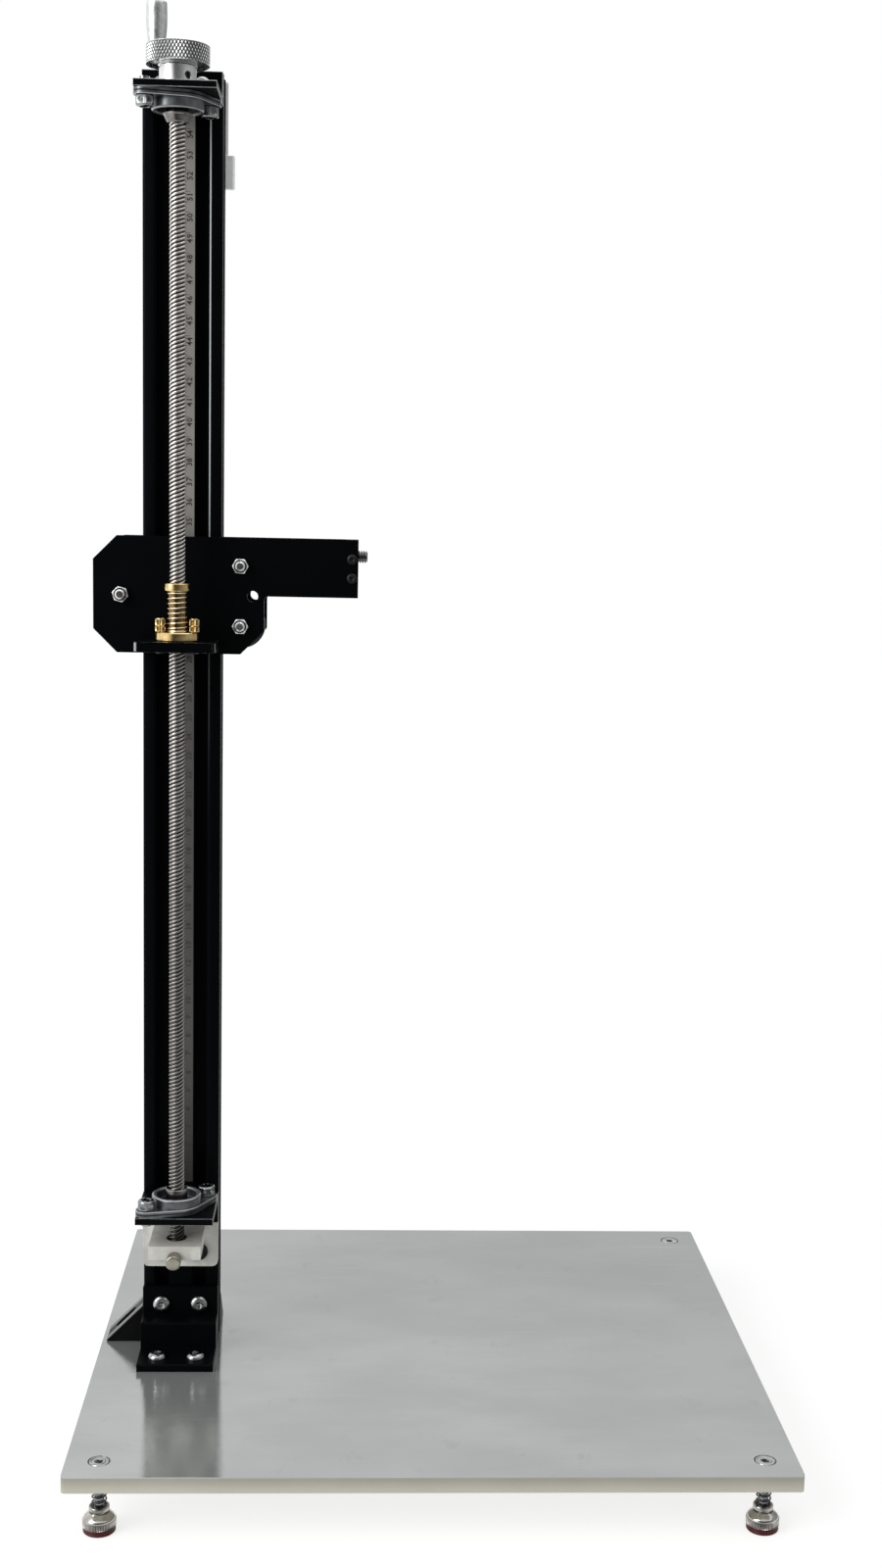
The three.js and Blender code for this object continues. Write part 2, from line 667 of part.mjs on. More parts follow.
function makeHandwheel() {
  const w = wheel;
  const ceiling = w.rimBottom + w.underDepth;
  const body = turned([
    [ringBore, 0],
    [w.hubRadius - w.hubEdge, 0],
    [w.hubRadius, w.hubEdge],
    [w.hubRadius, w.hubHeight],
    [w.beadRadius, w.hubHeight + w.hubEdge],
    [w.beadRadius, w.hubHeight + w.beadHeight],
    [w.hubRadius, ceiling],
    [w.underRadius, ceiling],
    [w.underRadius + w.underDepth / 2, w.rimBottom],
    [w.rimRadius - w.rimEdge, w.rimBottom],
    [w.rimRadius, w.rimBottom + w.rimEdge],
    [w.rimRadius, w.rimTop - w.rimEdge],
    [w.rimRadius - w.rimEdge, w.rimTop],
    [ringBore, w.rimTop],
  ], sides.large);
  const setHole = toRight(rod(m4.setRadius + faceGap, w.hubRadius + overrun, sides.tiny))
    .rotateZ(w.setAngle)
    .translate(0, 0, w.setHeight);
  const pinDepth = handle.pinEndDepth + faceGap;
  const pinHole = rod(handle.pinEndRadius + faceGap, pinDepth + overrun, sides.tiny)
    .translate(handleX, handleY, w.rimTop - pinDepth);
  return cut(body, setHole, pinHole);
}

function makeSetScrew() {
  const start = leadScrew.radius + runGap;
  const length = wheel.hubRadius - start - runGap;
  const socket = rod(m4.setSocketRadius, m4.setSocketDepth + overrun, 6)
    .translate(0, 0, length - m4.setSocketDepth);
  return toRight(cut(rod(m4.setRadius, length, sides.tiny), socket).translate(0, 0, start));
}

function makeHandle() {
  const h = handle;
  const belly = h.bellyShare * h.height;
  const side = [];
  for (let i = 0; i <= h.steps; i += 1) {
    const height = h.edge + ((h.height - 2 * h.edge) * i) / h.steps;
    const base = height < belly ? h.footRadius : h.topRadius;
    const reach = height < belly ? (belly - height) / belly : (height - belly) / (h.height - belly);
    side.push([h.bellyRadius - (h.bellyRadius - base) * reach * reach, height]);
  }
  return turned([
    [h.boreRadius, 0],
    [h.footRadius - h.edge, 0],
    ...side,
    [h.topRadius - h.edge, h.height],
    [h.recessRadius, h.height],
    [h.recessRadius, h.height - h.recessDepth],
    [h.boreRadius, h.height - h.recessDepth],
  ], sides.small);
}

function makeHandlePin() {
  const h = handle;
  const head = h.lift + h.height - h.recessDepth + runGap;
  return turned([
    [0, -h.pinEndDepth],
    [h.pinEndRadius, -h.pinEndDepth],
    [h.pinEndRadius, faceGap],
    [h.pinShoulderRadius, faceGap],
    [h.pinShoulderRadius, h.lift - runGap],
    [h.pinRadius, h.lift - runGap],
    [h.pinRadius, head],
    [h.pinHeadRadius, head],
    [h.pinHeadRadius, head + h.pinHeadHeight],
    [0, head + h.pinHeadHeight],
  ], sides.tiny);
}

function makeLockBlock() {
  const l = lock;
  const x = l.width / 2 - l.cornerRadius;
  const low = l.bottom + l.cornerRadius;
  const plate = standingSlab(outlineOf([
    ...quarterPoints(-x, low, l.cornerRadius, 2),
    ...quarterPoints(x, low, l.cornerRadius, 3),
    [l.width / 2, lockTop],
    [-l.width / 2, lockTop],
  ]), l.thickness).translate(0, -l.thickness, 0);
  const shelfLength = l.shelfDepth - joinOverlap;
  const shelf = block(l.shelfWidth, shelfLength, l.shelfThickness)
    .translate(0, shelfLength / 2 - l.shelfDepth, lockTop - l.shelfThickness);
  const lug = toFront(rod(l.lugRadius, shelfLength, sides.small)).translate(0, -joinOverlap, thumbHeight);
  const screwHole = rod(leadScrew.radius + runGap, l.shelfDepth, sides.small)
    .translate(0, -leadScrew.offset, lockTop + overrun - l.shelfDepth);
  const thumbHole = toFront(rod(m4.radius + runGap, l.shelfDepth - leadScrew.offset + overrun, sides.tiny))
    .translate(0, -leadScrew.offset, thumbHeight);
  const plateHoles = [-l.holePitch / 2, l.holePitch / 2].map((holeX) => (
    toFront(rod(m5.holeRadius, l.thickness + 2 * overrun, sides.tiny))
      .translate(holeX, overrun, l.holeHeight)
  ));
  return cut(join(plate, shelf, lug), screwHole, thumbHole, ...plateHoles);
}

function makeLockScrew() {
  const reach = lock.shelfDepth - leadScrew.offset - leadScrew.radius - runGap;
  return toFront(turned([
    [0, -reach],
    [m4.radius, -reach],
    [m4.radius, runGap],
    [lock.thumbRadius - lock.thumbEdge, runGap],
    [lock.thumbRadius, runGap + lock.thumbEdge],
    [lock.thumbRadius, runGap + lock.thumbLength - lock.thumbEdge],
    [lock.thumbRadius - lock.thumbEdge, runGap + lock.thumbLength],
    [0, runGap + lock.thumbLength],
  ], sides.small));
}

// Carriage

function makeCarriagePlate() {
  const c = carriage;
  const armBottom = c.halfHeight - c.armHeight;
  const r = c.armCornerRadius;
  const plan = outlineOf([
    [c.chamfer - c.left, -c.halfHeight],
    [c.right - c.chamfer, -c.halfHeight],
    [c.right, c.chamfer - c.halfHeight],
    ...arcPoints(c.right + r, armBottom - r, r, Math.PI, Math.PI / 2, cornerSteps),
    [c.armEnd, armBottom],
    [c.armEnd, c.halfHeight],
    [c.chamfer - c.left, c.halfHeight],
    [-c.left, c.halfHeight - c.chamfer],
    [-c.left, c.chamfer - c.halfHeight],
  ]);
  for (const [, x, z] of axles) plan.holes.push(circleHole(x, z, m5.holeRadius, sides.tiny));
  for (const z of endHoleHeights) {
    plan.holes.push(circleHole(c.armEnd - c.endHoleInset, z, m3.holeRadius, sides.tiny));
  }
  plan.holes.push(circleHole(c.spareHoleX, 0, c.spareHoleRadius, sides.tiny));
  return standingSlab(plan, c.plateThickness);
}

// The wheel's flanks follow the column's slot at the running clearance

function makeVWheel() {
  const v = vWheel;
  const half = v.width / 2;
  const faceDistance = v.axleX - column.width / 2;
  const tipHalf = slot.opening / 2 - runGap * Math.SQRT2 - (v.tipRadius - faceDistance);
  const shoulder = v.tipRadius - (half - tipHalf);
  const hub = half - v.recessDepth;
  return toFront(turned([
    [v.boreRadius, -hub],
    [v.recessRadius, -hub],
    [v.recessRadius, -half],
    [shoulder, -half],
    [v.tipRadius, -tipHalf],
    [v.tipRadius, tipHalf],
    [shoulder, half],
    [v.recessRadius, half],
    [v.recessRadius, hub],
    [v.boreRadius, hub],
  ], sides.medium));
}

function makeWheelSleeve() {
  const length = carriage.gap - 2 * faceGap;
  return toFront(turned([
    [vWheel.sleeveBore, -length / 2],
    [vWheel.sleeveRadius, -length / 2],
    [vWheel.sleeveRadius, length / 2],
    [vWheel.sleeveBore, length / 2],
  ], sides.small));
}

// The bolt's head is behind the rear plate and its nut is in front of the front plate

function makeWheelBolt() {
  const grip = carriage.gap + 2 * carriage.plateThickness;
  const nutStart = grip + faceGap;
  const end = nutStart + m5.nutHeight + vWheel.boltEnd;
  const dome = arcPoints(0, 0, 1, -Math.PI / 2, 0, cornerSteps).map(([across, up]) => [
    m5.buttonTopRadius + (m5.buttonHeadRadius - m5.buttonTopRadius) * across,
    up * m5.buttonHeadHeight - faceGap,
  ]);
  const body = turned([
    [0, -faceGap - m5.buttonHeadHeight],
    ...dome,
    [m5.radius, -faceGap],
    [m5.radius, end],
    [0, end],
  ], sides.tiny);
  const hexNut = rod(m5.nutRadius, m5.nutHeight, 6).translate(0, 0, nutStart);
  const socket = rod(m5.buttonSocketRadius, m5.buttonSocketDepth + overrun, 6)
    .translate(0, 0, -faceGap - m5.buttonHeadHeight - overrun);
  return toFront(cut(join(body, hexNut), socket));
}

function makeNutBracket() {
  const n = nutBracket;
  const plan = outlineOf([
    [-n.width / 2, 0],
    [-n.width / 2, n.corner - n.depth],
    [n.corner - n.width / 2, -n.depth],
    [n.width / 2 - n.corner, -n.depth],
    [n.width / 2, n.corner - n.depth],
    [n.width / 2, 0],
  ]);
  plan.holes.push(
    circleHole(0, screwFromPlate, leadScrew.radius + n.boreGap, sides.small),
    circleHole(-nutScrewX, screwFromPlate, m3.holeRadius, sides.tiny),
    circleHole(nutScrewX, screwFromPlate, m3.holeRadius, sides.tiny),
  );
  return slab(plan, n.thickness);
}

function makeFlangeNut() {
  const flangeRadius = nutScrewX + nut.knurlRadius;
  const body = turned([
    [nutBore, 0],
    [flangeRadius - nut.edge, 0],
    [flangeRadius, nut.edge],
    [flangeRadius, nut.flangeHeight - nut.edge],
    [flangeRadius - nut.edge, nut.flangeHeight],
    [barrelRadius, nut.flangeHeight],
    [barrelRadius, nut.barrelTop],
    [nutBore, nut.barrelTop],
  ], sides.medium);
  const holes = [];
  for (let i = 0; i < nut.holeCount; i += 1) {
    const angle = (2 * Math.PI * i) / nut.holeCount;
    holes.push(rod(m3.holeRadius, nut.flangeHeight + 2 * overrun, sides.tiny)
      .translate(nutScrewX * Math.cos(angle), nutScrewX * Math.sin(angle), -overrun));
  }
  return cut(body, ...holes);
}

function makeNutCollar() {
  const collarRadius = barrelRadius + nut.collarRim;
  return turned([
    [nutBore, nut.barrelTop + nut.partGap],
    [barrelRadius, nut.barrelTop + nut.partGap],
    [barrelRadius, nut.collarBottom],
    [collarRadius - nut.edge, nut.collarBottom],
    [collarRadius, nut.collarBottom + nut.edge],
    [collarRadius, nut.collarTop - nut.edge],
    [collarRadius - nut.edge, nut.collarTop],
    [nutBore, nut.collarTop],
  ], sides.medium);
}

// Head under the nut bracket, shank, and the knurled nut on the flange

function makeNutScrew() {
  const headTop = -nutBracket.thickness - 2 * faceGap;
  const nutBottom = nut.flangeHeight + faceGap;
  return turned([
    [0, headTop - m3.buttonHeadHeight],
    [m3.buttonHeadRadius - m3.edge, headTop - m3.buttonHeadHeight],
    [m3.buttonHeadRadius, headTop - m3.edge],
    [m3.buttonHeadRadius, headTop],
    [m3.radius, headTop],
    [m3.radius, nutBottom],
    [nut.knurlRadius, nutBottom],
    [nut.knurlRadius, nutBottom + nut.knurlHeight],
    [0, nutBottom + nut.knurlHeight],
  ], sides.tiny);
}

function makeEndBlock() {
  const { thickness, screwRise, screwGap, tapDepth } = endBlock;
  const depth = carriage.gap - 2 * faceGap;
  const armBottom = carriage.halfHeight - carriage.armHeight;
  const body = block(thickness, depth, carriage.armHeight).translate(0, 0, armBottom);
  const screwHole = toRight(rod(cameraThread.radius + screwGap, thickness + 2 * overrun, sides.small))
    .translate(-thickness / 2 - overrun, 0, screwRise);
  const taps = endHoleHeights.flatMap((z) => [
    toBack(rod(m3.tapRadius, tapDepth + overrun, sides.tiny)).translate(0, -depth / 2 - overrun, z),
    toFront(rod(m3.tapRadius, tapDepth + overrun, sides.tiny)).translate(0, depth / 2 + overrun, z),
  ]);
  return cut(body, screwHole, ...taps);
}

// The screw's head is behind the block, inside the arm

function makeCameraScrew() {
  const t = cameraThread;
  const end = endBlock.thickness + t.reach;
  const body = turned([
    [0, -runGap - t.headHeight],
    [t.headRadius - t.edge, -runGap - t.headHeight],
    [t.headRadius, t.edge - runGap - t.headHeight],
    [t.headRadius, -runGap],
    [t.radius, -runGap],
    [t.radius, end - t.edge],
    [t.radius - t.edge, end],
    [0, end],
  ], sides.small);
  const socket = rod(t.socketRadius, t.socketDepth + overrun, 6)
    .translate(0, 0, -runGap - t.headHeight - overrun);
  return toRight(cut(body, socket));
}

function makeClip() {
  const width = clip.grip + clip.reach;
  const plan = outlineOf([
    [clip.edge, 0],
    [width - clip.edge, 0],
    [width, clip.edge],
    [width, clip.thickness - clip.edge],
    [width - clip.edge, clip.thickness],
    [clip.edge, clip.thickness],
    [0, clip.thickness - clip.edge],
    [0, clip.edge],
  ]);
  return slab(plan, clip.height);
}

// Assembly. A group's origin is where its own pieces are drawn from.

function material(finish) {
  const [color, roughness, metalness] = finishes[finish];
  return new THREE.MeshStandardMaterial({ color, roughness, metalness });
}

function add(group, name, finish, geometry, x = 0, y = 0, z = 0) {
  const mesh = new THREE.Mesh(geometry, material(finish));
  mesh.name = name;
  mesh.position.set(x, y, z);
  group.add(mesh);
  return mesh;
}

function addGroup(parent, x, y, z) {
  const group = new THREE.Group();
  group.position.set(x, y, z);
  parent.add(group);
  return group;
}

const stand = new THREE.Group();
add(stand, 'base_plate', 'boardAluminium', makeBoard());

const nutBase = floorLevel + foot.padThickness + faceGap;
const springFoot = nutBase + foot.rimHeight + foot.bellHeight + foot.collarHeight - foot.seatDepth + faceGap;
for (const [name, signX, signY] of footPlaces) {
  const group = addGroup(stand, signX * footX, signY * footY, 0);
  add(group, `foot_screw_${name}`, 'screwSteel', makeFootScrew());
  add(group, `foot_spring_${name}`, 'springSteel', spring(footSpring, boardUnder - faceGap - springFoot))
    .position.setZ(springFoot);
  add(group, `foot_nut_${name}`, 'nickel', makeFootNut(), 0, 0, nutBase);
  add(group, `foot_pad_${name}`, 'padRed', makeFootPad(), 0, 0, floorLevel);
}

const upright = addGroup(stand, columnX, -column.depth / 2, 0);
const scaleBottom = scale.zeroHeight - scale.below;
const scaleTop = upperUnder - scale.topGap;
add(upright, 'column', 'blackAnodised', makeColumn(), 0, column.depth / 2, faceGap);
add(
  upright, 'scale_strip', 'scaleGrey', block(scale.width, scale.thickness, scaleTop - scaleBottom),
  0, -faceGap - scale.thickness / 2, scaleBottom,
);
add(upright, 'foot_angle', 'blackAnodised', makeFootAngle(), 0, -faceGap, faceGap);
add(
  upright, 'corner_bracket_side', 'blackPaint', makeCornerBracket(corner.sideWidth),
  -column.width / 2 - faceGap, column.depth / 2, faceGap,
).rotation.z = -Math.PI / 2;
add(
  upright, 'corner_bracket_rear', 'blackPaint', makeCornerBracket(corner.rearWidth),
  column.slotPitch / 2, column.depth + faceGap, faceGap,
).rotation.z = Math.PI;
const clipX = column.width / 2 - clip.grip;
const clipBottom = column.height - clip.drop;
add(upright, 'column_clip', 'paleClip', makeClip(), clipX, column.depth + faceGap, clipBottom);
const stripBottom = clipBottom + clip.height + faceGap;
add(
  upright, 'back_strip', 'paleClip',
  block(backStrip.width, backStrip.thickness, column.height - stripBottom),
  column.width / 2 + backStrip.outside - backStrip.width / 2,
  column.depth + faceGap + backStrip.thickness / 2, stripBottom,
);
add(upright, 'lower_bracket', 'blackAnodised', makeBearingBracket(-1), 0, -faceGap, bracket.lowerTop);
add(upright, 'upper_bracket', 'blackAnodised', makeBearingBracket(1), 0, -faceGap, upperUnder);
add(upright, 'lock_block', 'whitePlastic', makeLockBlock(), 0, -faceGap, 0);
add(upright, 'lock_screw', 'steel', makeLockScrew(), 0, -faceGap - lock.shelfDepth, thumbHeight);

const screwAxis = addGroup(upright, 0, -faceGap - leadScrew.offset, 0);
const boltShank = bearing.flangeThickness + bracket.thickness + 2 * faceGap + bearing.boltReach;
const bearings = [
  ['lower', bracket.lowerTop + faceGap, 0, bearing.lowerSleeveHeight, false],
  ['upper', upperUnder - faceGap, Math.PI, bearing.upperSleeveHeight, true],
];
for (const [name, level, flip, sleeveHeight, hasLockCollar] of bearings) {
  const turnedGroup = addGroup(screwAxis, 0, 0, level);
  turnedGroup.rotation.z = bearing.turn;
  const seat = addGroup(turnedGroup, 0, 0, 0);
  seat.rotation.x = flip;
  add(seat, `${name}_bearing_housing`, 'zinc', makeBearingHousing());
  add(seat, `${name}_bearing_ring`, 'steel', makeBearingRing(sleeveHeight, hasLockCollar));
  const boltLevel = bearing.flangeThickness + faceGap;
  add(seat, `${name}_bearing_bolt_left`, 'screwSteel', capScrew(m5, boltShank), -bearingBoltX, 0, boltLevel);
  add(seat, `${name}_bearing_bolt_right`, 'screwSteel', capScrew(m5, boltShank), bearingBoltX, 0, boltLevel);
}
add(screwAxis, 'lead_screw', 'screwSteel', makeLeadScrew());

const wheelGroup = addGroup(screwAxis, 0, 0, wheelBase);
add(wheelGroup, 'handwheel', 'satinAluminium', makeHandwheel());
add(wheelGroup, 'handwheel_set_screw', 'screwSteel', makeSetScrew(), 0, 0, wheel.setHeight)
  .rotation.z = wheel.setAngle;
add(wheelGroup, 'handle', 'satinAluminium', makeHandle(), handleX, handleY, wheel.rimTop + handle.lift);
add(wheelGroup, 'handle_pin', 'steel', makeHandlePin(), handleX, handleY, wheel.rimTop);

const slide = addGroup(upright, 0, 0, carriage.height);
const middleY = column.depth / 2;
const innerFront = middleY - carriage.gap / 2;
const plateFront = innerFront - carriage.plateThickness;
add(slide, 'carriage_front_plate', 'blackAnodised', makeCarriagePlate(), 0, plateFront, 0);
add(slide, 'carriage_rear_plate', 'blackAnodised', makeCarriagePlate(), 0, innerFront + carriage.gap, 0);
for (const [name, x, z] of axles) {
  const rear = innerFront + carriage.gap + carriage.plateThickness;
  add(slide, `wheel_${name}`, 'blackPlastic', makeVWheel(), x, middleY, z);
  add(slide, `wheel_sleeve_${name}`, 'steel', makeWheelSleeve(), x, middleY, z);
  add(slide, `wheel_bolt_${name}`, 'screwSteel', makeWheelBolt(), x, rear, z);
}
add(slide, 'nut_bracket', 'blackAnodised', makeNutBracket(), 0, plateFront - faceGap, -nutBracket.drop);
const nutLevel = nutBracket.thickness + faceGap - nutBracket.drop;
const nutGroup = addGroup(slide, 0, -faceGap - leadScrew.offset, nutLevel);
add(nutGroup, 'flange_nut', 'brass', makeFlangeNut());
const springLength = nut.collarBottom - nut.flangeHeight - 2 * faceGap;
add(nutGroup, 'nut_spring', 'steel', spring({ ...nutSpring, radius: coilRadius }, springLength))
  .position.setZ(nut.flangeHeight + faceGap);
add(nutGroup, 'nut_collar', 'brass', makeNutCollar());
add(nutGroup, 'nut_screw_left', 'brass', makeNutScrew(), -nutScrewX, 0, 0);
add(nutGroup, 'nut_screw_right', 'brass', makeNutScrew(), nutScrewX, 0, 0);
const endBlockX = carriage.armEnd - endBlock.thickness / 2;
add(slide, 'arm_end_block', 'blackAnodised', makeEndBlock(), endBlockX, middleY, 0);
add(
  slide, 'camera_screw', 'steel', makeCameraScrew(),
  carriage.armEnd - endBlock.thickness, middleY, endBlock.screwRise,
);

export default stand;
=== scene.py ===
"""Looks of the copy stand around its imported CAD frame.

X points to the right, Y to the back and Z up; the board's top face is Z = 0.
Shapes are worked out in millimetres and become metres when a piece is made.
"""

import math

import bmesh
import bpy
import numpy as np
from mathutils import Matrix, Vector


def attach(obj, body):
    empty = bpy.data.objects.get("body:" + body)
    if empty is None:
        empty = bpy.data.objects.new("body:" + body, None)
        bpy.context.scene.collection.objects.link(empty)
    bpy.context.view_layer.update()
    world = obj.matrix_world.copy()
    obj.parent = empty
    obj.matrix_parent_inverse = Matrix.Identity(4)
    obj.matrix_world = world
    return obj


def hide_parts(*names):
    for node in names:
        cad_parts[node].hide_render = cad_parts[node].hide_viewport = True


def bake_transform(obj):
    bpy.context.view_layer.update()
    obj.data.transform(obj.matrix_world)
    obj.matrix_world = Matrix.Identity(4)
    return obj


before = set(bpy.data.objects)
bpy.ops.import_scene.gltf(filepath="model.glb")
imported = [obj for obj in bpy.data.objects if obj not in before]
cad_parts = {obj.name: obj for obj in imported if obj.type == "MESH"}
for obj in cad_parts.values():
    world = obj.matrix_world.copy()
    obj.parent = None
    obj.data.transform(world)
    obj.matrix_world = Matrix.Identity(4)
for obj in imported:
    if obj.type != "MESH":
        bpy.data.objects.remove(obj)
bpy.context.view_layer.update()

MM = 0.001
WHITE = (1.0, 1.0, 1.0, 1.0)
SPECULAR = "Specular IOR Level"

# Places that the pieces share with the CAD, in millimetres
COLUMN_X = -132.5
COLUMN_LEFT = -152.6
COLUMN_FRONT = -10.1
COLUMN_BACK = 10.1
REAR_BRACKET_X = -122.5
SCREW_AXIS = (COLUMN_X, -36.1)
LOCK_SCREW = (COLUMN_X, -49.1, 63.0)
BEARING_TURN = 37.7
BEARING_BOLT = 18.5
LOWER_SEAT = 85.6
UPPER_SEAT = 643.9
WHEEL_Z = 648.0
HANDLE_AXIS = (-142.90, -32.52)
PLATE_FRONT = -17.5
PLATE_BACK = 17.5
NUT_SEAT = 381.6
NUT_SCREW = 8.4
ARM_END = (-48.9, 0.0, 424.3)
AXLES = {"left": (-162.8, 403.5), "upper_right": (-102.2, 418.75), "lower_right": (-102.2, 388.25)}
FLOOR = -35.0
BELL_NUT = -31.9
FOOT = (159.0, 144.0)
FEET = {
    "front_left": (-FOOT[0], -FOOT[1]),
    "front_right": (FOOT[0], -FOOT[1]),
    "back_left": (-FOOT[0], FOOT[1]),
    "back_right": (FOOT[0], FOOT[1]),
}

# Turns that carry a form drawn up the Z axis
X, Y, Z = np.eye(3)
UPWARD = np.array([X, Y, Z])
DOWNWARD = np.array([X, -Y, -Z])
FRONTWARD = np.array([X, -Z, Y])
BACKWARD = np.array([X, Z, -Y])
RIGHTWARD = np.array([Z, Y, -X])
LEFTWARD = np.array([-Z, Y, X])


# Node trees


class Value:
    """A socket that takes part in sums: each operator adds its Math node."""

    def __init__(self, nodes, socket):
        self.nodes = nodes
        self.socket = socket

    def output(self, name):
        """Another output of the same node."""
        return Value(self.nodes, self.socket.node.outputs[name])

    def __add__(self, other):
        return self.nodes.math("ADD", self, other)

    def __radd__(self, other):
        return self.nodes.math("ADD", other, self)

    def __sub__(self, other):
        return self.nodes.math("SUBTRACT", self, other)

    def __rsub__(self, other):
        return self.nodes.math("SUBTRACT", other, self)

    def __mul__(self, other):
        return self.nodes.math("MULTIPLY", self, other)

    def __rmul__(self, other):
        return self.nodes.math("MULTIPLY", other, self)

    def __abs__(self):
        return self.nodes.math("ABSOLUTE", self)


class Nodes:
    """A node tree with its pieces of shader work."""

    def __init__(self, tree):
        self.tree = tree
        tree.nodes.clear()

    def node(self, kind, settings=None, inputs=None, output=0):
        """Adds a node: its settings first, then a number, colour or link for each socket named."""
        made = self.tree.nodes.new(kind)
        for name, value in (settings or {}).items():
            setattr(made, name, value)
        for name, value in (inputs or {}).items():
            if isinstance(value, Value):
                self.tree.links.new(value.socket, made.inputs[name])
            else:
                made.inputs[name].default_value = value
        return Value(self, made.outputs[output]) if len(made.outputs) else made

    def math(self, operation, *values):
        """The Math node of an operation on numbers and sockets."""
        return self.node("ShaderNodeMath", {"operation": operation}, dict(enumerate(values)))

    def end(self, surface, kind="Material"):
        """Ends the tree in its output node."""
        self.node(f"ShaderNodeOutput{kind}", inputs={"Surface": surface})

    def seen(self):
        """1 for rays of the camera, of reflections and through glass, 0 for those that only bring light."""
        ray = self.node("ShaderNodeLightPath", output="Is Camera Ray")
        return ray + ray.output("Is Glossy Ray") + ray.output("Is Transmission Ray")

    def place(self):
        """The piece's own coordinates, in metres."""
        return self.node("ShaderNodeTexCoord", output="Object")

    def axes(self):
        """The piece's own coordinates in millimetres, as three values."""
        apart = self.node("ShaderNodeSeparateXYZ", inputs={"Vector": self.place()})
        return [apart.output(name) * 1000.0 for name in ("X", "Y", "Z")]

    def noise(self, size, detail=3.0, rough=0.5, stretch=(1.0, 1.0, 1.0), shift=0.0):
        """Soft lumps about `size` millimetres wide, drawn out by `stretch` along the axes."""
        scale = [1000.0 / (size * share) for share in stretch]
        inputs = {"Vector": self.place(), "Location": (shift, shift, shift), "Scale": scale}
        spread = self.node("ShaderNodeMapping", inputs=inputs)
        inputs = {"Vector": spread, "Scale": 1.0, "Detail": detail, "Roughness": rough}
        return self.node("ShaderNodeTexNoise", inputs=inputs)

    def step(self, value, low, high, first=0.0, last=1.0):
        """Goes softly from `first` to `last` while the value goes from `low` to `high`."""
        inputs = {"Value": value, "From Min": low, "From Max": high, "To Min": first, "To Max": last}
        return self.node("ShaderNodeMapRange", {"interpolation_type": "SMOOTHSTEP"}, inputs)

    def over(self, noise, first=0.0, last=1.0):
        """Goes from `first` to `last` over the middle of a noise, where most of its values lie."""
        return self.step(noise, 0.3, 0.7, first, last)

    def stripe(self, value, low, high, soft):
        """1 while the value lies between `low` and `high`, fading out over `soft` on either side."""
        return self.step(value, low - soft, low) * self.step(value, high, high + soft, 1.0, 0.0)

    def radius(self, across, along, centre):
        """Distance from an axis through `centre`, from two coordinates."""
        x, y = across - centre[0], along - centre[1]
        return self.math("SQRT", x * x + y * y)

    def mix(self, share, first, second):
        """Goes from the first colour to the second as the share goes from 0 to 1."""
        first, second = (c if isinstance(c, Value) else colour(*c) for c in (first, second))
        settings = {"data_type": "RGBA", "clamp_factor": True}
        return self.node("ShaderNodeMix", settings, {0: share, 6: first, 7: second}, output=2)

    def bump(self, height, depth):
        """Normal of a relief `depth` millimetres deep where the height goes from 0 to 1."""
        return self.node("ShaderNodeBump", inputs={"Strength": 1.0, "Distance": depth * MM, "Height": height})

    def fine_grain(self):
        """Normal of the fine grain that turned and plated metals share."""
        return self.bump(self.noise(0.25, 2.0, 0.6), 0.002)


def colour(red, green, blue):
    """A colour given as the eye sees it, from 0 to 255, turned into light values."""
    seen = [c / 255.0 for c in (red, green, blue)]
    return tuple(c / 12.92 if c <= 0.04045 else ((c + 0.055) / 1.055) ** 2.4 for c in seen) + (1.0,)


def new_material(name):
    """A material and its empty node tree."""
    material = bpy.data.materials.new(name)
    material.use_nodes = True
    return material, Nodes(material.node_tree)


def make_finish(name, paint, even):
    """A material: paint(nodes) gives what varies over the surface, `even` the sockets that don't."""
    material, nodes = new_material(name)
    varied = dict(zip(("Base Color", "Roughness", "Normal"), paint(nodes)))
    nodes.end(nodes.node("ShaderNodeBsdfPrincipled", inputs={**even, **varied}))
    return material


# Camera, world, floor and lamps


def add_object(name, data):
    """A new object in the scene's collection."""
    made = bpy.data.objects.new(name, data)
    bpy.context.scene.collection.objects.link(made)
    return made


def add_camera():
    """The camera at the photograph's viewing angle."""
    data = bpy.data.cameras.new("camera")
    data.sensor_fit = "VERTICAL"
    data.sensor_height = 36.0
    data.lens = 44.338
    data.shift_x = -0.00079
    data.shift_y = 0.01451
    camera = add_object("camera", data)
    camera.location = (-0.04330835, -1.00935552, 0.44122597)
    camera.rotation_euler = [math.radians(a) for a in (81.71872867, -1.19648682, -2.49078253)]
    bpy.context.scene.camera = camera


def add_lamp(name, place, target, size, watts):
    """A soft rectangular lamp that faces a target and doesn't show itself."""
    data = bpy.data.lights.new(name, "AREA")
    data.shape = "RECTANGLE"
    data.size, data.size_y = size
    data.energy = watts
    lamp = add_object(name, data)
    lamp.location = place
    lamp.rotation_euler = (Vector(target) - Vector(place)).to_track_quat("-Z", "Y").to_euler()
    lamp.visible_camera = False


def add_world():
    """White for the camera and in reflections, dimmer for the light that it gives."""
    world = bpy.data.worlds.new("studio")
    world.use_nodes = True
    bpy.context.scene.world = world
    nodes = Nodes(world.node_tree)
    strength = nodes.step(nodes.seen(), 0.0, 1.0, 0.42, 1.0)
    nodes.end(nodes.node("ShaderNodeBackground", inputs={"Color": WHITE, "Strength": strength}), "World")


def add_stage(name, points, faces, material):
    """A sheet of the stage, in metres, which isn't part of the object."""
    mesh = bpy.data.meshes.new(name)
    mesh.from_pydata(points, [], faces)
    mesh.materials.append(material)
    made = add_object(name, mesh)
    return made


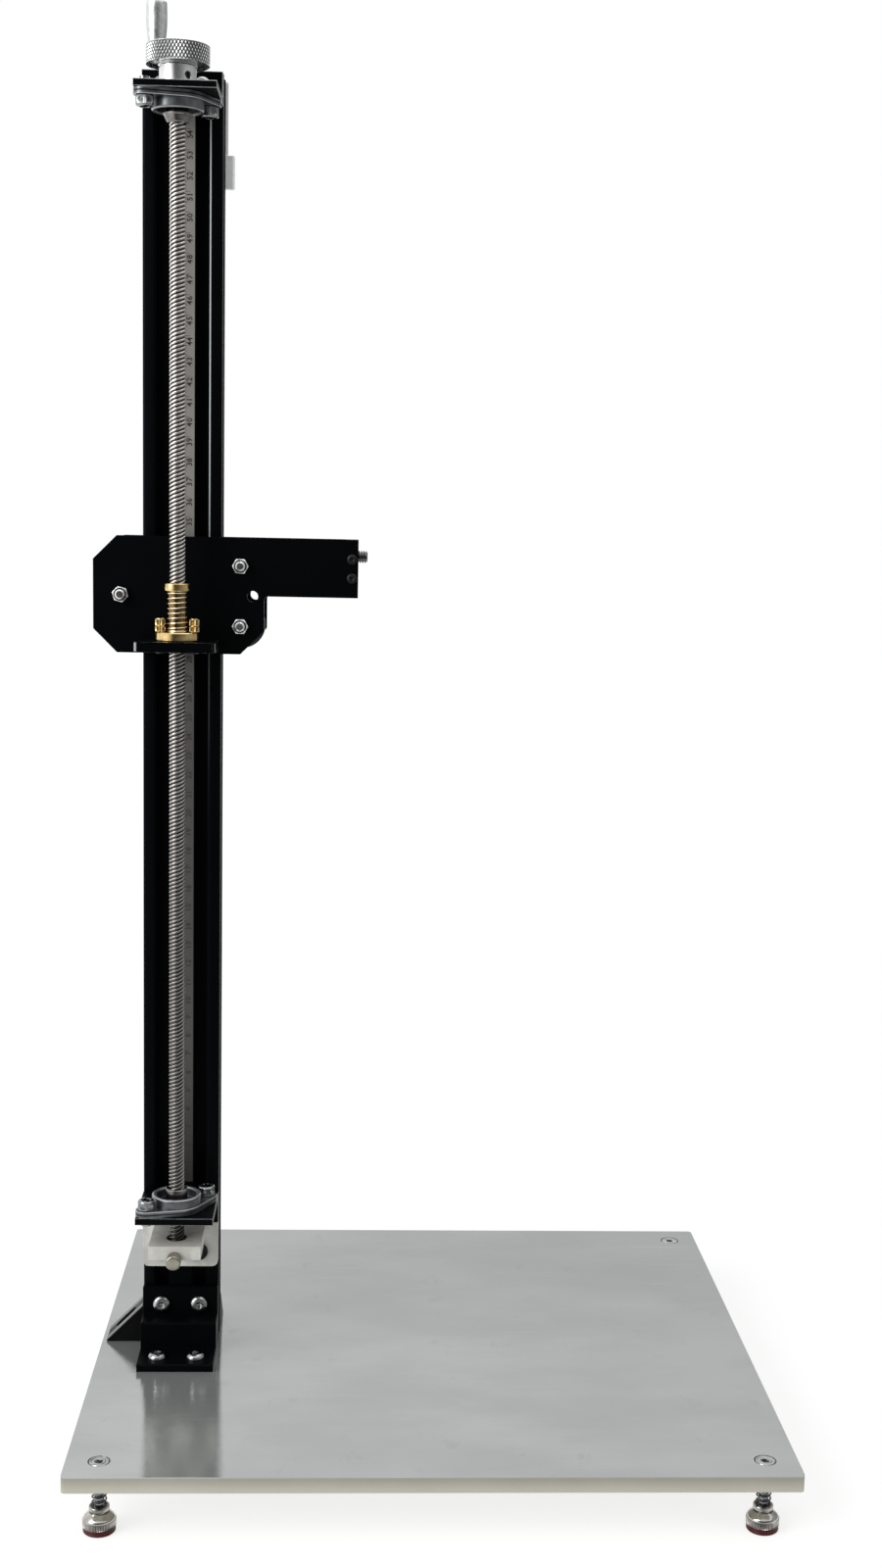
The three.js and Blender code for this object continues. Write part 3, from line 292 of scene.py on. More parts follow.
def add_floor():
    """A pale floor under the feet that keeps the object's shadow and whitens with distance."""
    material, nodes = new_material("pale_floor")
    dull = nodes.node("ShaderNodeBsdfDiffuse", inputs={"Color": colour(236, 236, 236)})
    glow = nodes.node("ShaderNodeEmission", inputs={"Color": WHITE, "Strength": 1.26})
    x, y, _ = nodes.axes()
    share = nodes.step(nodes.radius(x, y, (0.0, 0.0)), 700.0, 3000.0, 0.6, 1.0)
    nodes.end(nodes.node("ShaderNodeMixShader", inputs={0: nodes.seen() * share, 1: dull, 2: glow}))
    reach = 6.0
    corners = [(a * reach, b * reach, FLOOR * MM) for a, b in ((-1, -1), (1, -1), (1, 1), (-1, 1))]
    add_stage("floor", corners, [(0, 1, 2, 3)], material)


def add_grey_card():
    """A card round the front and right, for the metals to reflect: white at its left end, dark, then grey.

    Its point at angle a stands `reach` from the column: [reach sin a, -reach cos a, height].
    """
    left, dark, grey, wane, right = -46.0, -14.0, 80.0, 112.0, 150.0
    angle = np.radians(np.linspace(left, right, 50))
    profile = np.array([[0.5, -0.034], [1.4, -0.034], [2.2, -0.02], [2.4, 0.2], [2.4, 1.9]])
    reach, height = profile.T[:, :, None]
    across, along = reach * np.sin(angle) + COLUMN_X * MM, -reach * np.cos(angle)
    points, faces = grid(abreast(across, along, height), loop_columns=False)
    material, nodes = new_material("card_grey")
    x, y, _ = nodes.axes()
    turn = nodes.math("ARCTAN2", x - COLUMN_X, y * -1.0) * math.degrees(1.0)
    glow = nodes.step(turn, left, dark, 1.0, 0.07) + nodes.step(turn, dark, grey, 0.0, 0.29)
    glow = glow - nodes.step(turn, wane, right, 0.0, 0.14)
    nodes.end(nodes.node("ShaderNodeEmission", inputs={"Color": WHITE, "Strength": glow}))
    card = add_stage("grey_card", points.tolist(), faces.tolist(), material)
    card.visible_camera = card.visible_shadow = card.visible_diffuse = False


# Paints. Each gives a base colour, a roughness and, where there is a relief, a normal.

# The scale strip is darkened with painted shade up to the first height and plain from the second; its print
# fades over the same span
STRIP_SHADE_AND_FADE = (330, 440)

# Radius of the handwheel's rim, and the two ends of its knurled band over the wheel's foot
RIM = 15.45
RIM_LOW = 9.25
RIM_HIGH = 17.75


def board_paint(nodes):
    """Rolled aluminium sheet: fine lines along X, cloudy stains, painted shade darker to the back and right
    and in the gaps round the foot screws, and warm edges with a painted reflection, darker under their top.
    """
    x, y, z = nodes.axes()
    lines = nodes.noise(1, 3, 0.6, (120, 1, 1))
    clouds = nodes.noise(70, 4, 0.55, (1.6, 0.8, 1))
    spots = nodes.step(nodes.noise(16, 5, 0.62, (1, 1.4, 1), 3), 0.60, 0.72)
    streaks = nodes.step(nodes.noise(7, 3, 0.5, (14, 0.8, 1), 7), 0.62, 0.78)
    base = nodes.mix(nodes.step(clouds, 0.32, 0.68), (176, 180, 179), (190, 193, 191))
    # Painted shade: the sheet darkens towards the back and the right, as light falls off from the front left
    dull = nodes.step(x, -190, 190) + nodes.step(y, -170, 170)
    base = nodes.mix(dull * 0.24, base, (118, 121, 121))
    base = nodes.mix(spots * 0.25, base, (136, 141, 139))
    base = nodes.mix(streaks * 0.22, base, (196, 198, 196))
    base = nodes.mix(lines * 0.16, base, (120, 124, 122))
    # Painted reflection on the sawn edge, paler at the bottom and darker under the top, mixed with a random
    # tone
    edge_reflection_and_tone = nodes.step(z, -7.6, -0.6) * 0.7 + nodes.noise(30, 3, 0.6) * 0.3
    sawn = nodes.mix(edge_reflection_and_tone, (190, 187, 174), (150, 148, 137))
    side = nodes.step(z, -0.55, -0.3, 1, 0)
    # Painted shade in the gap round each foot screw's countersunk head
    ring = nodes.stripe(nodes.radius(abs(x), abs(y), FOOT), 4.6, 5.35, 0.12)
    base = nodes.mix(ring * 0.8, base, (52, 54, 54))
    base = nodes.mix(side, base, sawn)
    return base, nodes.over(clouds, 0.03, 0.055) + side * 0.35 + spots * 0.04, nodes.bump(lines, 0.06)


def anodised_paint(nodes):
    """Black anodised aluminium: bluer in soft patches, fine grained, with a painted highlight along one flank
    of a column slot that brightens upwards.
    """
    x, y, z = nodes.axes()
    grain = nodes.noise(0.35, 2, 0.6)
    patches = nodes.noise(40, 3, 0.5)
    wear = nodes.step(nodes.noise(3, 5, 0.7, (1, 1, 4), 5), 0.72, 0.80)
    # Painted highlight: a pale line on one flank of a column slot, growing brighter towards the top
    lip = nodes.stripe(y, COLUMN_FRONT + 0.1, COLUMN_FRONT + 1.8, 0.08)
    flank = nodes.stripe(x, COLUMN_X + 13.55, COLUMN_X + 14.15, 0.15)
    rise = nodes.step(z, 220, 510)
    base = nodes.mix(patches, (2, 3, 4), (7, 8, 10))
    base = nodes.mix(lip * flank * rise * rise * rise * 0.9, base, (176, 181, 184))
    base = nodes.mix(wear * 0.35, base, (70, 74, 80))
    return base, nodes.over(grain, 0.32, 0.44), nodes.bump(grain, 0.006)


def shelf_paint(nodes):
    """Black anodised nut bracket, with painted highlights on the two front corners of its shelf."""
    x, y, z = nodes.axes()
    # Painted highlights on the shelf's two front corners, the right one fainter
    left = nodes.step(COLUMN_X - x, 18.7, 19)
    right = nodes.step(x - COLUMN_X, 19.5, 19.7) * 0.5
    front = nodes.step(y, SCREW_AXIS[1] - 14.4, SCREW_AXIS[1] - 14.1, 1, 0)
    corner = (left + right) * front * nodes.stripe(z, NUT_SEAT - 4.6, NUT_SEAT - 0.6, 0.2)
    base, roughness, normal = anodised_paint(nodes)
    return nodes.mix(corner, base, (158, 160, 158)), roughness, normal


def painted_paint(nodes):
    """Black coated corner brackets: finely pebbled, with a painted grey sheen on the slope at both sides of
    the slot.
    """
    x, y, z = nodes.axes()
    patches = nodes.noise(12, 3, 0.5)
    slope, flank = (20.5, 20.8), (3.5, 3.8)
    # Painted sheen: the slope beside the slot, on both brackets, is lightened grey
    side = nodes.step(z - x + COLUMN_LEFT, *slope) * nodes.step(abs(y), *flank)
    rear = nodes.step(z + y - COLUMN_BACK, *slope) * nodes.step(abs(x - REAR_BRACKET_X), *flank)
    base = nodes.mix(patches, (3, 3, 4), (9, 9, 11))
    base = nodes.mix((side + rear) * 0.9, base, (118, 120, 122))
    return base, nodes.over(patches, 0.38, 0.55), nodes.bump(nodes.noise(0.6, 3, 0.6), 0.02)


def plastic_black_paint(nodes):
    """Moulded black plastic of the wheels, dull with a fine mould grain."""
    grain = nodes.noise(0.5, 2, 0.5)
    base = nodes.mix(nodes.noise(6), (14, 14, 15), (26, 26, 27))
    return base, nodes.over(grain, 0.45, 0.6), nodes.bump(grain, 0.01)


def metal_paint(dark, light, gloss):
    """Paint of a plain metal: soft tone changes and a fine grain; `gloss` is its roughness range."""

    def paint(nodes):
        tone = nodes.noise(3, 4, 0.6)
        return nodes.mix(nodes.over(tone), dark, light), nodes.over(tone, *gloss), nodes.fine_grain()

    return paint


def axle_paint(nodes):
    """Wheel bolts and nuts, by radius: a dull end, with painted highlights on the bolt end's rim and on the
    nut's face, and painted shade in a dark ring between them.
    """
    x, _, z = nodes.axes()
    near = [nodes.radius(x, z, axle) for axle in AXLES.values()]
    reach = nodes.math("MINIMUM", near[0], nodes.math("MINIMUM", near[1], near[2]))
    # Painted shade in the dark ring, painted highlights on the bright rim and face
    ring = nodes.stripe(reach, 2.6, 3.05, 0.12)
    axle_highlights = nodes.stripe(reach, 1.8, 2.45, 0.15) + nodes.step(reach, 3.1, 3.35)
    base, roughness, normal = metal_paint((92, 90, 91), (124, 122, 123), (0.16, 0.26))(nodes)
    base = nodes.mix(axle_highlights, base, (226, 227, 227))
    return nodes.mix(ring * 0.9, base, (18, 18, 18)), roughness, normal


def screw_paint(nodes):
    """Rolled lead screw: bright crests over roots darkened as painted shade, told apart by radius, and darker
    up its low end, greased and in painted shade.
    """
    x, y, z = nodes.axes()
    crest = nodes.step(nodes.radius(x, y, SCREW_AXIS), 3.4, 3.9)
    smear = nodes.noise(5, 4, 0.6, (1, 1, 2))
    # Greased and in painted shade: darker up the low end, fading out above the carriage
    grease_and_shade = nodes.step(z, 68, 84, 0.85, 0.62) * nodes.step(z, 190, 450, 1, 0)
    steel = nodes.mix(nodes.over(smear), (216, 211, 205), (238, 235, 230))
    steel = nodes.mix(grease_and_shade, steel, (34, 33, 32))
    # Painted shade: the roots between the crests are darkened
    base = nodes.mix(crest, (88, 85, 82), steel)
    return base, nodes.over(smear, 0.20, 0.30) + (1 - crest) * 0.2, nodes.bump(nodes.noise(0.3, 2), 0.002)


def cast_paint(nodes):
    """Cast zinc housing: grey and pitted, with pale edges and boss top, worn and with painted highlights, and
    painted shade in a narrow channel of its flange, by height over its seat.
    """
    _, _, z = nodes.axes()
    level = nodes.math("MINIMUM", z - LOWER_SEAT, UPPER_SEAT - z)
    # Painted highlights, with edge wear, on the flange's edges and the boss top; painted shade in the
    # flange's channel
    rim_highlights = nodes.stripe(level, 3.05, 3.3, 0.08) + nodes.stripe(level, 0, 0.25, 0.1)
    bright = nodes.step(level, 7.7, 8) + rim_highlights
    groove_shade = nodes.stripe(level, 1.5, 1.8, 0.12)
    patches = nodes.noise(6, 3, 0.6)
    base = nodes.mix(nodes.over(patches), (90, 93, 96), (114, 117, 119))
    base = nodes.mix(groove_shade * 0.9, base, (16, 17, 18))
    base = nodes.mix(bright * 0.7, base, (196, 198, 199))
    return base, nodes.over(patches, 0.28, 0.38), nodes.bump(nodes.noise(0.5, 4, 0.7), 0.012)


def brass_paint(nodes):
    """Turned brass: warm yellow with redder tarnish, and painted shade on the brass behind the spring."""
    x, y, z = nodes.axes()
    tone = nodes.noise(2.5, 4, 0.6)
    tarnish = nodes.step(nodes.noise(1.2, 4, 0.7, shift=2), 0.55, 0.75)
    # Painted shade on the nut's core behind the spring
    inner = nodes.step(nodes.radius(x, y, SCREW_AXIS), 4.8, 4.95, 1, 0)
    barrel_shade = inner * nodes.stripe(z, NUT_SEAT + 4.9, NUT_SEAT + 24.2, 0.4)
    base = nodes.mix(nodes.over(tone), (212, 180, 118), (240, 216, 158))
    base = nodes.mix(barrel_shade * 0.85, base, (104, 78, 40))
    base = nodes.mix(tarnish * 0.4, base, (150, 112, 78))
    return base, nodes.over(tone, 0.13, 0.20), nodes.bump(nodes.noise(0.3, 2), 0.001)


def satin_paint(nodes):
    """Satin aluminium of the handwheel: pale, with fine turning lines and painted shade in the knurl's
    grooves.
    """
    x, y, z = nodes.axes()
    tone = nodes.noise(8, 3, 0.5)
    reach = nodes.radius(x, y, SCREW_AXIS)
    # Painted shade deep in the knurl's valleys
    depth = nodes.step(reach, 14.5, 14.7) * nodes.step(reach, 15.04, 15.26, 1, 0)
    groove_shade = depth * nodes.stripe(z, WHEEL_Z + RIM_LOW + 0.15, WHEEL_Z + RIM_HIGH - 0.15, 0.1)
    base = nodes.mix(tone, (232, 233, 233), (246, 247, 247))
    return (
        nodes.mix(groove_shade, base, (66, 67, 67)),
        nodes.over(tone, 0.20, 0.28) + groove_shade * 0.2,
        nodes.bump(nodes.noise(0.16, 1, 0.5, (400, 400, 1)), 0.004),
    )


def nickel_paint(nodes):
    """Plated bell nut of a foot: cloudy, with painted shade between its ribs and in the neck under its
    collar.
    """
    x, y, z = nodes.axes()
    reach = nodes.radius(abs(x), abs(y), FOOT)
    # Painted shade in the valleys of the knurled band and in the neck
    rib_shade = nodes.step(reach, 7.66, 7.92, 1, 0) * nodes.stripe(z, BELL_NUT + 0.3, BELL_NUT + 3.3, 0.1)
    neck = nodes.stripe(z, BELL_NUT + 6.9, BELL_NUT + 7.4, 0.25)
    base, roughness, normal = metal_paint((168, 167, 162), (206, 204, 199), (0.12, 0.22))(nodes)
    return nodes.mix((rib_shade + neck) * 0.85, base, (24, 24, 23)), roughness + rib_shade * 0.3, normal


def printed_paint(nodes):
    """Printed white plastic: layer lines up its height, yellowed and dusty, greased and in painted shade
    round the lead screw.
    """
    x, y, z = nodes.axes()
    layer = nodes.math("SINE", z * (2 * math.pi / 0.3)) * 0.5 + 0.5
    dust = nodes.noise(9, 4, 0.6)
    # Greased and in painted shade: a dark ring round the lead screw's hole
    grease_and_hole_shade = nodes.step(nodes.radius(x, y, SCREW_AXIS), 5, 5.8, 0.92, 0)
    base = nodes.mix(nodes.step(dust, 0.35, 0.7), (190, 189, 182), (212, 211, 206))
    base = nodes.mix(grease_and_hole_shade, base, (30, 29, 27))
    base = nodes.mix(layer * 0.10, base, (170, 169, 162))
    return base, nodes.over(dust, 0.42, 0.56), nodes.bump(layer, 0.03)


def pale_plastic_paint(nodes):
    """Pale plastic of the clip and the strip behind the column: cloudy white with a soft mould grain."""
    cloud = nodes.noise(4, 3, 0.5)
    base = nodes.mix(cloud, (246, 249, 248), (252, 254, 253))
    return base, nodes.over(cloud, 0.22, 0.36), nodes.bump(nodes.noise(0.8), 0.004)


def scale_paint(nodes):
    """Grey scale strip: brushed up its length, cloudy, and darkened with painted shade over its lower half,
    most near its foot.
    """
    _, _, z = nodes.axes()
    brushed = nodes.noise(0.25, 2, 0.6, (1, 1, 60))
    cloud = nodes.noise(25, 3, 0.5, (1, 1, 2))
    base = nodes.mix(nodes.over(cloud), (118, 116, 111), (134, 132, 127))
    # Painted shade below the carriage, and deeper painted shade near the foot
    base = nodes.mix(nodes.step(z, *STRIP_SHADE_AND_FADE, 0.95, 0), base, (68, 66, 63))
    base = nodes.mix(nodes.step(z, 100, 170, 0.8, 0), base, (30, 29, 28))
    base = nodes.mix(brushed * 0.14, base, (110, 107, 102))
    return base, nodes.over(brushed, 0.40, 0.52), nodes.bump(brushed, 0.003)


def ink_paint(nodes):
    """Printed marks: nearly black, thinner in spots, and faded over the lower half of the strip, where the
    strip has painted shade.
    """
    _, _, z = nodes.axes()
    thin = nodes.noise(0.8, 3, 0.6)
    ink = nodes.mix(nodes.step(thin, 0.4, 0.8), (34, 33, 32), (54, 52, 50))
    base = nodes.mix(nodes.step(z, *STRIP_SHADE_AND_FADE, 0.75, 0), ink, (54, 52, 50))
    return base, nodes.over(thin, 0.5, 0.6)


def rubber_paint(nodes):
    """Dark red foot pad: moulded rubber, dusty towards the floor."""
    _, _, z = nodes.axes()
    dust = nodes.step(z, FLOOR, FLOOR + 1.4, 1, 0) * nodes.noise(1.5, 4, 0.7)
    base = nodes.mix(nodes.noise(2, 3, 0.5), (58, 11, 14), (82, 17, 21))
    base = nodes.mix(dust * 0.5, base, (120, 98, 92))
    return base, nodes.step(dust, 0, 0.6, 0.30, 0.6), nodes.bump(nodes.noise(0.4, 3), 0.01)


# Finishes with a paint of their own: the slot, the material's name, its paint and its even sockets
PAINTED = {
    "board": ("board_aluminium", "rolled_board_aluminium", board_paint, {"Metallic": 0.6}),
    "anodised": ("black_anodised", "black_anodised", anodised_paint, {SPECULAR: 0.035}),
    "shelf": ("black_anodised", "nut_bracket_corner_highlights", shelf_paint, {SPECULAR: 0.035}),
    "bracket": ("black_bracket", "black_coated_bracket", painted_paint, {SPECULAR: 0.12}),
    "wheel_plastic": ("black_plastic", "black_wheel_plastic", plastic_black_paint, {SPECULAR: 0.3}),
    "lead_screw": ("lead_screw_steel", "rolled_lead_screw", screw_paint, {"Metallic": 1.0}),
    "nickel": ("nickel", "nickel_foot", nickel_paint, {"Metallic": 1.0}),
    "axle_steel": ("screw_steel", "axle_bolt_steel", axle_paint, {"Metallic": 0.6}),
    "cast": ("bearing_housing", "cast_bearing_housing", cast_paint, {"Metallic": 0.85}),
    "brass": ("brass", "turned_brass", brass_paint, {"Metallic": 1.0}),
    "satin": ("satin_aluminium", "satin_aluminium", satin_paint, {"Metallic": 0.97}),
    "printed": ("white_plastic", "printed_white_plastic", printed_paint, {SPECULAR: 0.4}),
    "pale_plastic": ("pale_plastic", "pale_moulded_plastic", pale_plastic_paint, {}),
    "scale": ("scale_grey", "grey_scale_strip", scale_paint, {"Metallic": 0.2}),
    "ink": ("scale_grey", "scale_ink", ink_paint, {SPECULAR: 0.2}),
    "rubber": ("red_pad", "dark_red_rubber", rubber_paint, {SPECULAR: 0.25}),
}

# Plain metals: the slot, which the two edge finishes share with their faces and leave out, the material's
# name, its dark and light tone, its roughness range and Metallic
METALS = {
    # The two edge finishes are paler than their black faces: edge wear and painted highlight along the
    # rounded edges
    "anodised_edge": (None, "anodised_edge_wear_and_highlight", (40, 41, 44), (62, 64, 68), (0.26, 0.36), 0.9),
    "bracket_edge": (None, "bracket_edge_wear_and_highlight", (156, 158, 160), (188, 190, 191), (0.24, 0.36), 0.8),
    "steel": ("steel", "turned_steel", (112, 111, 109), (146, 145, 142), (0.16, 0.24), 1.0),
    "screw_steel": ("screw_steel", "zinc_screw_steel", (150, 152, 153), (190, 191, 192), (0.12, 0.22), 1.0),
    "stud": ("steel", "camera_screw_steel", (96, 96, 97), (146, 146, 147), (0.2, 0.3), 1.0),
    "spring": ("spring_steel", "dark_spring_steel", (58, 60, 64), (96, 98, 102), (0.24, 0.36), 1.0),
    "knob": ("nickel", "plated_thumb_screw", (146, 143, 130), (160, 157, 144), (0.20, 0.26), 1.0),
    "cap_steel": ("screw_steel", "dull_cap_screw_steel", (124, 126, 127), (164, 166, 167), (0.14, 0.22), 1.0),
    # The nut spring's warm tint is a painted reflection of the brass behind it
    "pale_spring": ("spring_steel", "pale_nut_spring", (222, 208, 172), (246, 236, 208), (0.14, 0.22), 1.0),
    "grip": ("satin_aluminium", "satin_handle_grip", (214, 215, 216), (228, 229, 229), (0.24, 0.34), 1.0),
    "black_screw": ("screw_steel", "black_oxide_screw", (20, 20, 21), (36, 36, 38), (0.28, 0.4), 0.6),
}

FINISHES = {key: make_finish(name, paint, even) for key, (_, name, paint, even) in PAINTED.items()}
for key, (_, name, dark, light, gloss, metallic) in METALS.items():
    FINISHES[key] = make_finish(name, metal_paint(dark, light, gloss), {"Metallic": metallic})


# Shapes, in millimetres. A shape is its points and its faces.


def grid(points, loop_rows=False, loop_columns=True):
    """Faces between the rows and columns of points[row, column]; a looped side meets its own start."""
    rows, columns = points.shape[:2]
    row, column = np.meshgrid(
        np.arange(rows if loop_rows else rows - 1),
        np.arange(columns if loop_columns else columns - 1),
        indexing="ij",
    )
    above, beside = (row + 1) % rows, (column + 1) % columns
    corners = [(row, column), (row, beside), (above, beside), (above, column)]
    faces = np.stack([r * columns + c for r, c in corners], axis=-1)
    return points.reshape(-1, 3), faces.reshape(-1, 4)


def merged(*shapes):
    """Several shapes as one."""
    starts = np.cumsum([0] + [len(points) for points, _ in shapes[:-1]])
    faces = [faces + start for (_, faces), start in zip(shapes, starts)]
    return np.concatenate([points for points, _ in shapes]), np.concatenate(faces)


def about_z(degrees):
    """The turn about Z by an angle."""
    c, s = math.cos(math.radians(degrees)), math.sin(math.radians(degrees))
    return np.array([[c, -s, 0.0], [s, c, 0.0], [0.0, 0.0, 1.0]])


def placed(shape, place, turn=UPWARD, spin=0.0):
    """The shape spun about its own Z axis by degrees, then turned, then moved."""
    points, faces = shape
    return points @ (turn @ about_z(spin)).T + np.asarray(place, float), faces


def abreast(*columns):
    """Columns of numbers side by side, each repeated to the size of the largest."""
    return np.stack(np.broadcast_arrays(*columns), axis=-1)


def polar(reach, angle, height):
    """Points [reach cos a, reach sin a, height]."""
    return abreast(reach * np.cos(angle), reach * np.sin(angle), height)


def outline(*parts):
    """Rows of radius, height, share of a hexagon and share of a relief; what a part leaves out is 0."""
    rows = [row for part in parts for row in ([part] if np.ndim(part[0]) == 0 else part)]
    return np.array([[*row, 0.0, 0.0][:4] for row in rows], float)


def eased(rows, radius, steps=3):
    """Each inner corner P becomes (1-t)^2 A + 2t(1-t) P + t^2 B, with A and B `radius` from it."""
    rows = outline(rows)
    before, corner, after = rows[:-2], rows[1:-1], rows[2:]
    near = []
    for side in (before - corner, after - corner):
        length = np.linalg.norm(side[:, :2], axis=1, keepdims=True) + 1e-9
        near.append((corner + side * np.minimum(radius / length, 0.45))[:, None])
    t = np.linspace(0.0, 1.0, steps + 1)[None, :, None]
    curve = (1 - t) ** 2 * near[0] + 2 * t * (1 - t) * corner[:, None] + t**2 * near[1]
    return np.concatenate([rows[:1], curve.reshape(-1, 4), rows[-1:]])


def hexagon(angle):
    """Distance to the side of a hexagon whose flats are 1 from its centre."""
    return 1.0 / np.cos((angle + np.pi / 6) % (np.pi / 3) - np.pi / 6)


def lathe(rows, count=48, relief=None, loop=False):
    """Each row turned about Z: radius times the hexagon's reach where its share asks, less the relief."""
    radius, height, hexed, cut = (column[:, None] for column in outline(rows).T)
    angle = np.arange(count) * (2 * np.pi / count)
    reach = radius * (1.0 + hexed * (hexagon(angle) - 1.0))
    if relief is not None:
        reach = reach - cut * relief(angle, height)
    return grid(polar(reach, angle, height), loop_rows=loop)


def wave(turn):
    """Triangle wave that falls from 1 to 0 and climbs back over each whole turn."""
    return np.abs(2.0 * (turn % 1.0) - 1.0)


def ribs(count, depth):
    """Straight knurl: the depth times a triangle wave of `count` waves round the axis."""
    return lambda angle, height: depth * wave(count * angle / (2 * np.pi)) + 0 * height


def diamonds(count, climb, depth):
    """Diamond knurl: the deeper of two triangle waves that lean left and right by one wave each `climb`."""

    def relief(angle, height):
        turn = count * angle / (2 * np.pi)
        return depth * np.maximum(wave(turn + height / climb), wave(turn - height / climb))

    return relief


def drilled(angle, height, place, level, radius):
    """A hole across a hub: a chamfer 0.3 deep round it and a wall down to a flat floor 2.5 deep."""
    across = (angle - math.radians(place) + np.pi) % (2 * np.pi) - np.pi
    distance = np.hypot(radius * across, height - level)
    return 0.3 * np.clip((1.95 - distance) / 0.35, 0.0, 1.0) + 2.2 * np.clip((1.6 - distance) / 0.1, 0.0, 1.0)


def band(radius, low, high, step, edge=0.15):
    """Outline rows of a knurled band: full relief between its two plain edges."""
    heights = np.linspace(low + edge, high - edge, max(2, int((high - low) / step)))
    return outline([radius, low], abreast(radius, heights, 0.0, 1.0), [radius, high])


def thread(radius, depth, pitch, starts, low, high, columns=36):
    """Helix surface: at angle a and row height s the point stands at height s + lead a / 2 pi.

    Its radius follows the thread's profile along s. Past either end it shrinks to the axis in that plane.
    """
    lead = pitch * starts
    shares = np.array([0.0, 0.36, 0.46, 0.54, 0.82, 0.90])
    sunk = np.array([1.0, 1.0, 0.14, 0.0, 0.0, 0.14])
    turns = np.arange(-starts - 1, math.ceil((high - low) / pitch) + 2)
    rise = ((turns[:, None] + shares) * pitch + low).ravel()[:, None]
    profile = np.tile(radius - depth * sunk, len(turns))[:, None]
    angle = np.linspace(0.0, 2 * np.pi, columns + 1)
    height = rise + lead * angle / (2 * np.pi)
    inside = np.minimum(height - low, high - height)
    reach = np.minimum(profile, radius - depth + np.maximum(inside, 0.0))
    reach = np.where(inside < 0, (radius - depth) * np.clip(1 + inside / pitch, 0.0, 1.0), reach)
    return grid(polar(reach, angle, np.clip(height, low, high)), loop_columns=False)


def coil(radius, wire, low, high, turns, start=0.0):
    """Round wire along [radius cos a, radius sin a, climb]: most of a turn lies flat at each end."""
    dead, sides, steps = 0.9, 8, 28
    turn = np.linspace(0.0, turns, int(turns * steps) + 1)
    rise = dead * 2.04 * wire
    heights = [low + wire, low + wire + rise, high - wire - rise, high - wire]
    climb = np.interp(turn, [0.0, dead, turns - dead, turns], heights)
    angle = 2 * np.pi * turn + start
    out = polar(1.0, angle, 0.0)
    centre = out * [radius, radius, 0.0] + climb[:, None] * [0.0, 0.0, 1.0]
    along = np.gradient(centre, axis=0)
    along /= np.linalg.norm(along, axis=1, keepdims=True)
    side = np.cross(along, out)
    around = np.arange(sides) * (2 * np.pi / sides)
    ring = np.cos(around)[None, :, None] * out[:, None] + np.sin(around)[None, :, None] * side[:, None]
    tube = centre[:, None] + wire * ring
    ends = [np.repeat(centre[k][None, None], sides, axis=1) for k in (0, -1)]
    return grid(np.concatenate([ends[0], tube, ends[1]]))


def oval(inset):
    """Band round a middle circle and two ear circles, drawn in by the inset, as [x, y] points."""
    middle, ear, steps = 13.5, 5.5, 14
    tangent = math.acos((middle - ear) / BEARING_BOLT)
    arcs = [
        (BEARING_BOLT, ear, -tangent, tangent),
        (0.0, middle, tangent, math.pi - tangent),
        (-BEARING_BOLT, ear, math.pi - tangent, math.pi + tangent),
        (0.0, middle, math.pi + tangent, 2 * math.pi - tangent),
    ]
    points = []
    for centre, radius, first, last in arcs:
        angle = np.linspace(first, last, steps)
        points.append(polar(radius - inset, angle, 0.0)[:, :2] + [centre, 0.0])
    return np.concatenate(points)


def flange(profile):
    """Rows of the oval, each [inset, height]; the first and last rows lie on a circle round the middle."""
    rows = []
    for number, (inset, height) in enumerate(profile):
        if number in (0, len(profile) - 1):
            row = oval(0.0)
            row = row * (inset / np.linalg.norm(row, axis=1, keepdims=True))
        else:
            row = oval(inset)
        rows.append(np.concatenate([row, np.full((len(row), 1), height)], axis=1))
    return grid(np.stack(rows), loop_rows=True)


def hex_nut(flat, height, bore):
    """Hexagon cut by 30 degree cones: its faces fall by tan 30 times the reach past 0.96 of the flats."""
    angle = np.arange(72) * (2 * np.pi / 72)
    side = flat * hexagon(angle)
    fall = math.tan(math.radians(30)) * (side - 0.96 * flat)
    rows = [
        (bore, 0.0), (0.96 * flat, 0.0), (side, fall), (side, height - 0.6 - fall),
        (0.96 * flat, height - 0.6), (0.92 * flat, height - 0.35), (0.84 * flat, height),
        (0.77 * flat, height), (bore, height - 0.9),
    ]
    return grid(np.stack([polar(r, angle, h) for r, h in rows]), loop_rows=True)


def socket(flat, top, depth):
    """Outline rows of a hexagonal socket: a small lead-in, its wall and a floor that dips to the axis."""
    floor = top - depth
    return [[flat + 0.35, top], [flat, top - 0.15, 1.0], [flat, floor, 1.0], [0.0, floor - 0.5 * flat]]


def button_screw(thread_radius, head, height, flat, shank):
    """Domed screw head over its shank; the dome is a quarter ellipse."""
    angle = np.linspace(0.0, np.pi / 2, 8)
    top = 0.5 * head
    dome = abreast(top + (head - top) * np.cos(angle), height * (0.14 + 0.86 * np.sin(angle)))
    return lathe(outline(
        [[0.0, -shank], [thread_radius, -shank], [thread_radius, 0.0], [head - 0.1, 0.0], [head, 0.1]],
        dome, socket(flat, height, 0.6 * height),
    ))


def cap_screw(thread_radius, head, height, flat, shank):
    """Cylindrical screw head with a straight knurl."""
    rows = outline(
        [[0.0, -shank], [thread_radius, -shank], [thread_radius, 0.0], [head - 0.3, 0.0]],
        band(head, 0.3, height - 0.75, 1.2),
        [[head - 0.12, height - 0.55], [head - 0.45, height - 0.1], [head - 0.7, height]],
        socket(flat, height, 0.55 * height),
    )
    return lathe(rows, 144, ribs(36, 0.22))


# Pieces

# Edges of the softened pieces that turn by more than this are rounded, in degrees
SHARP = 32.0


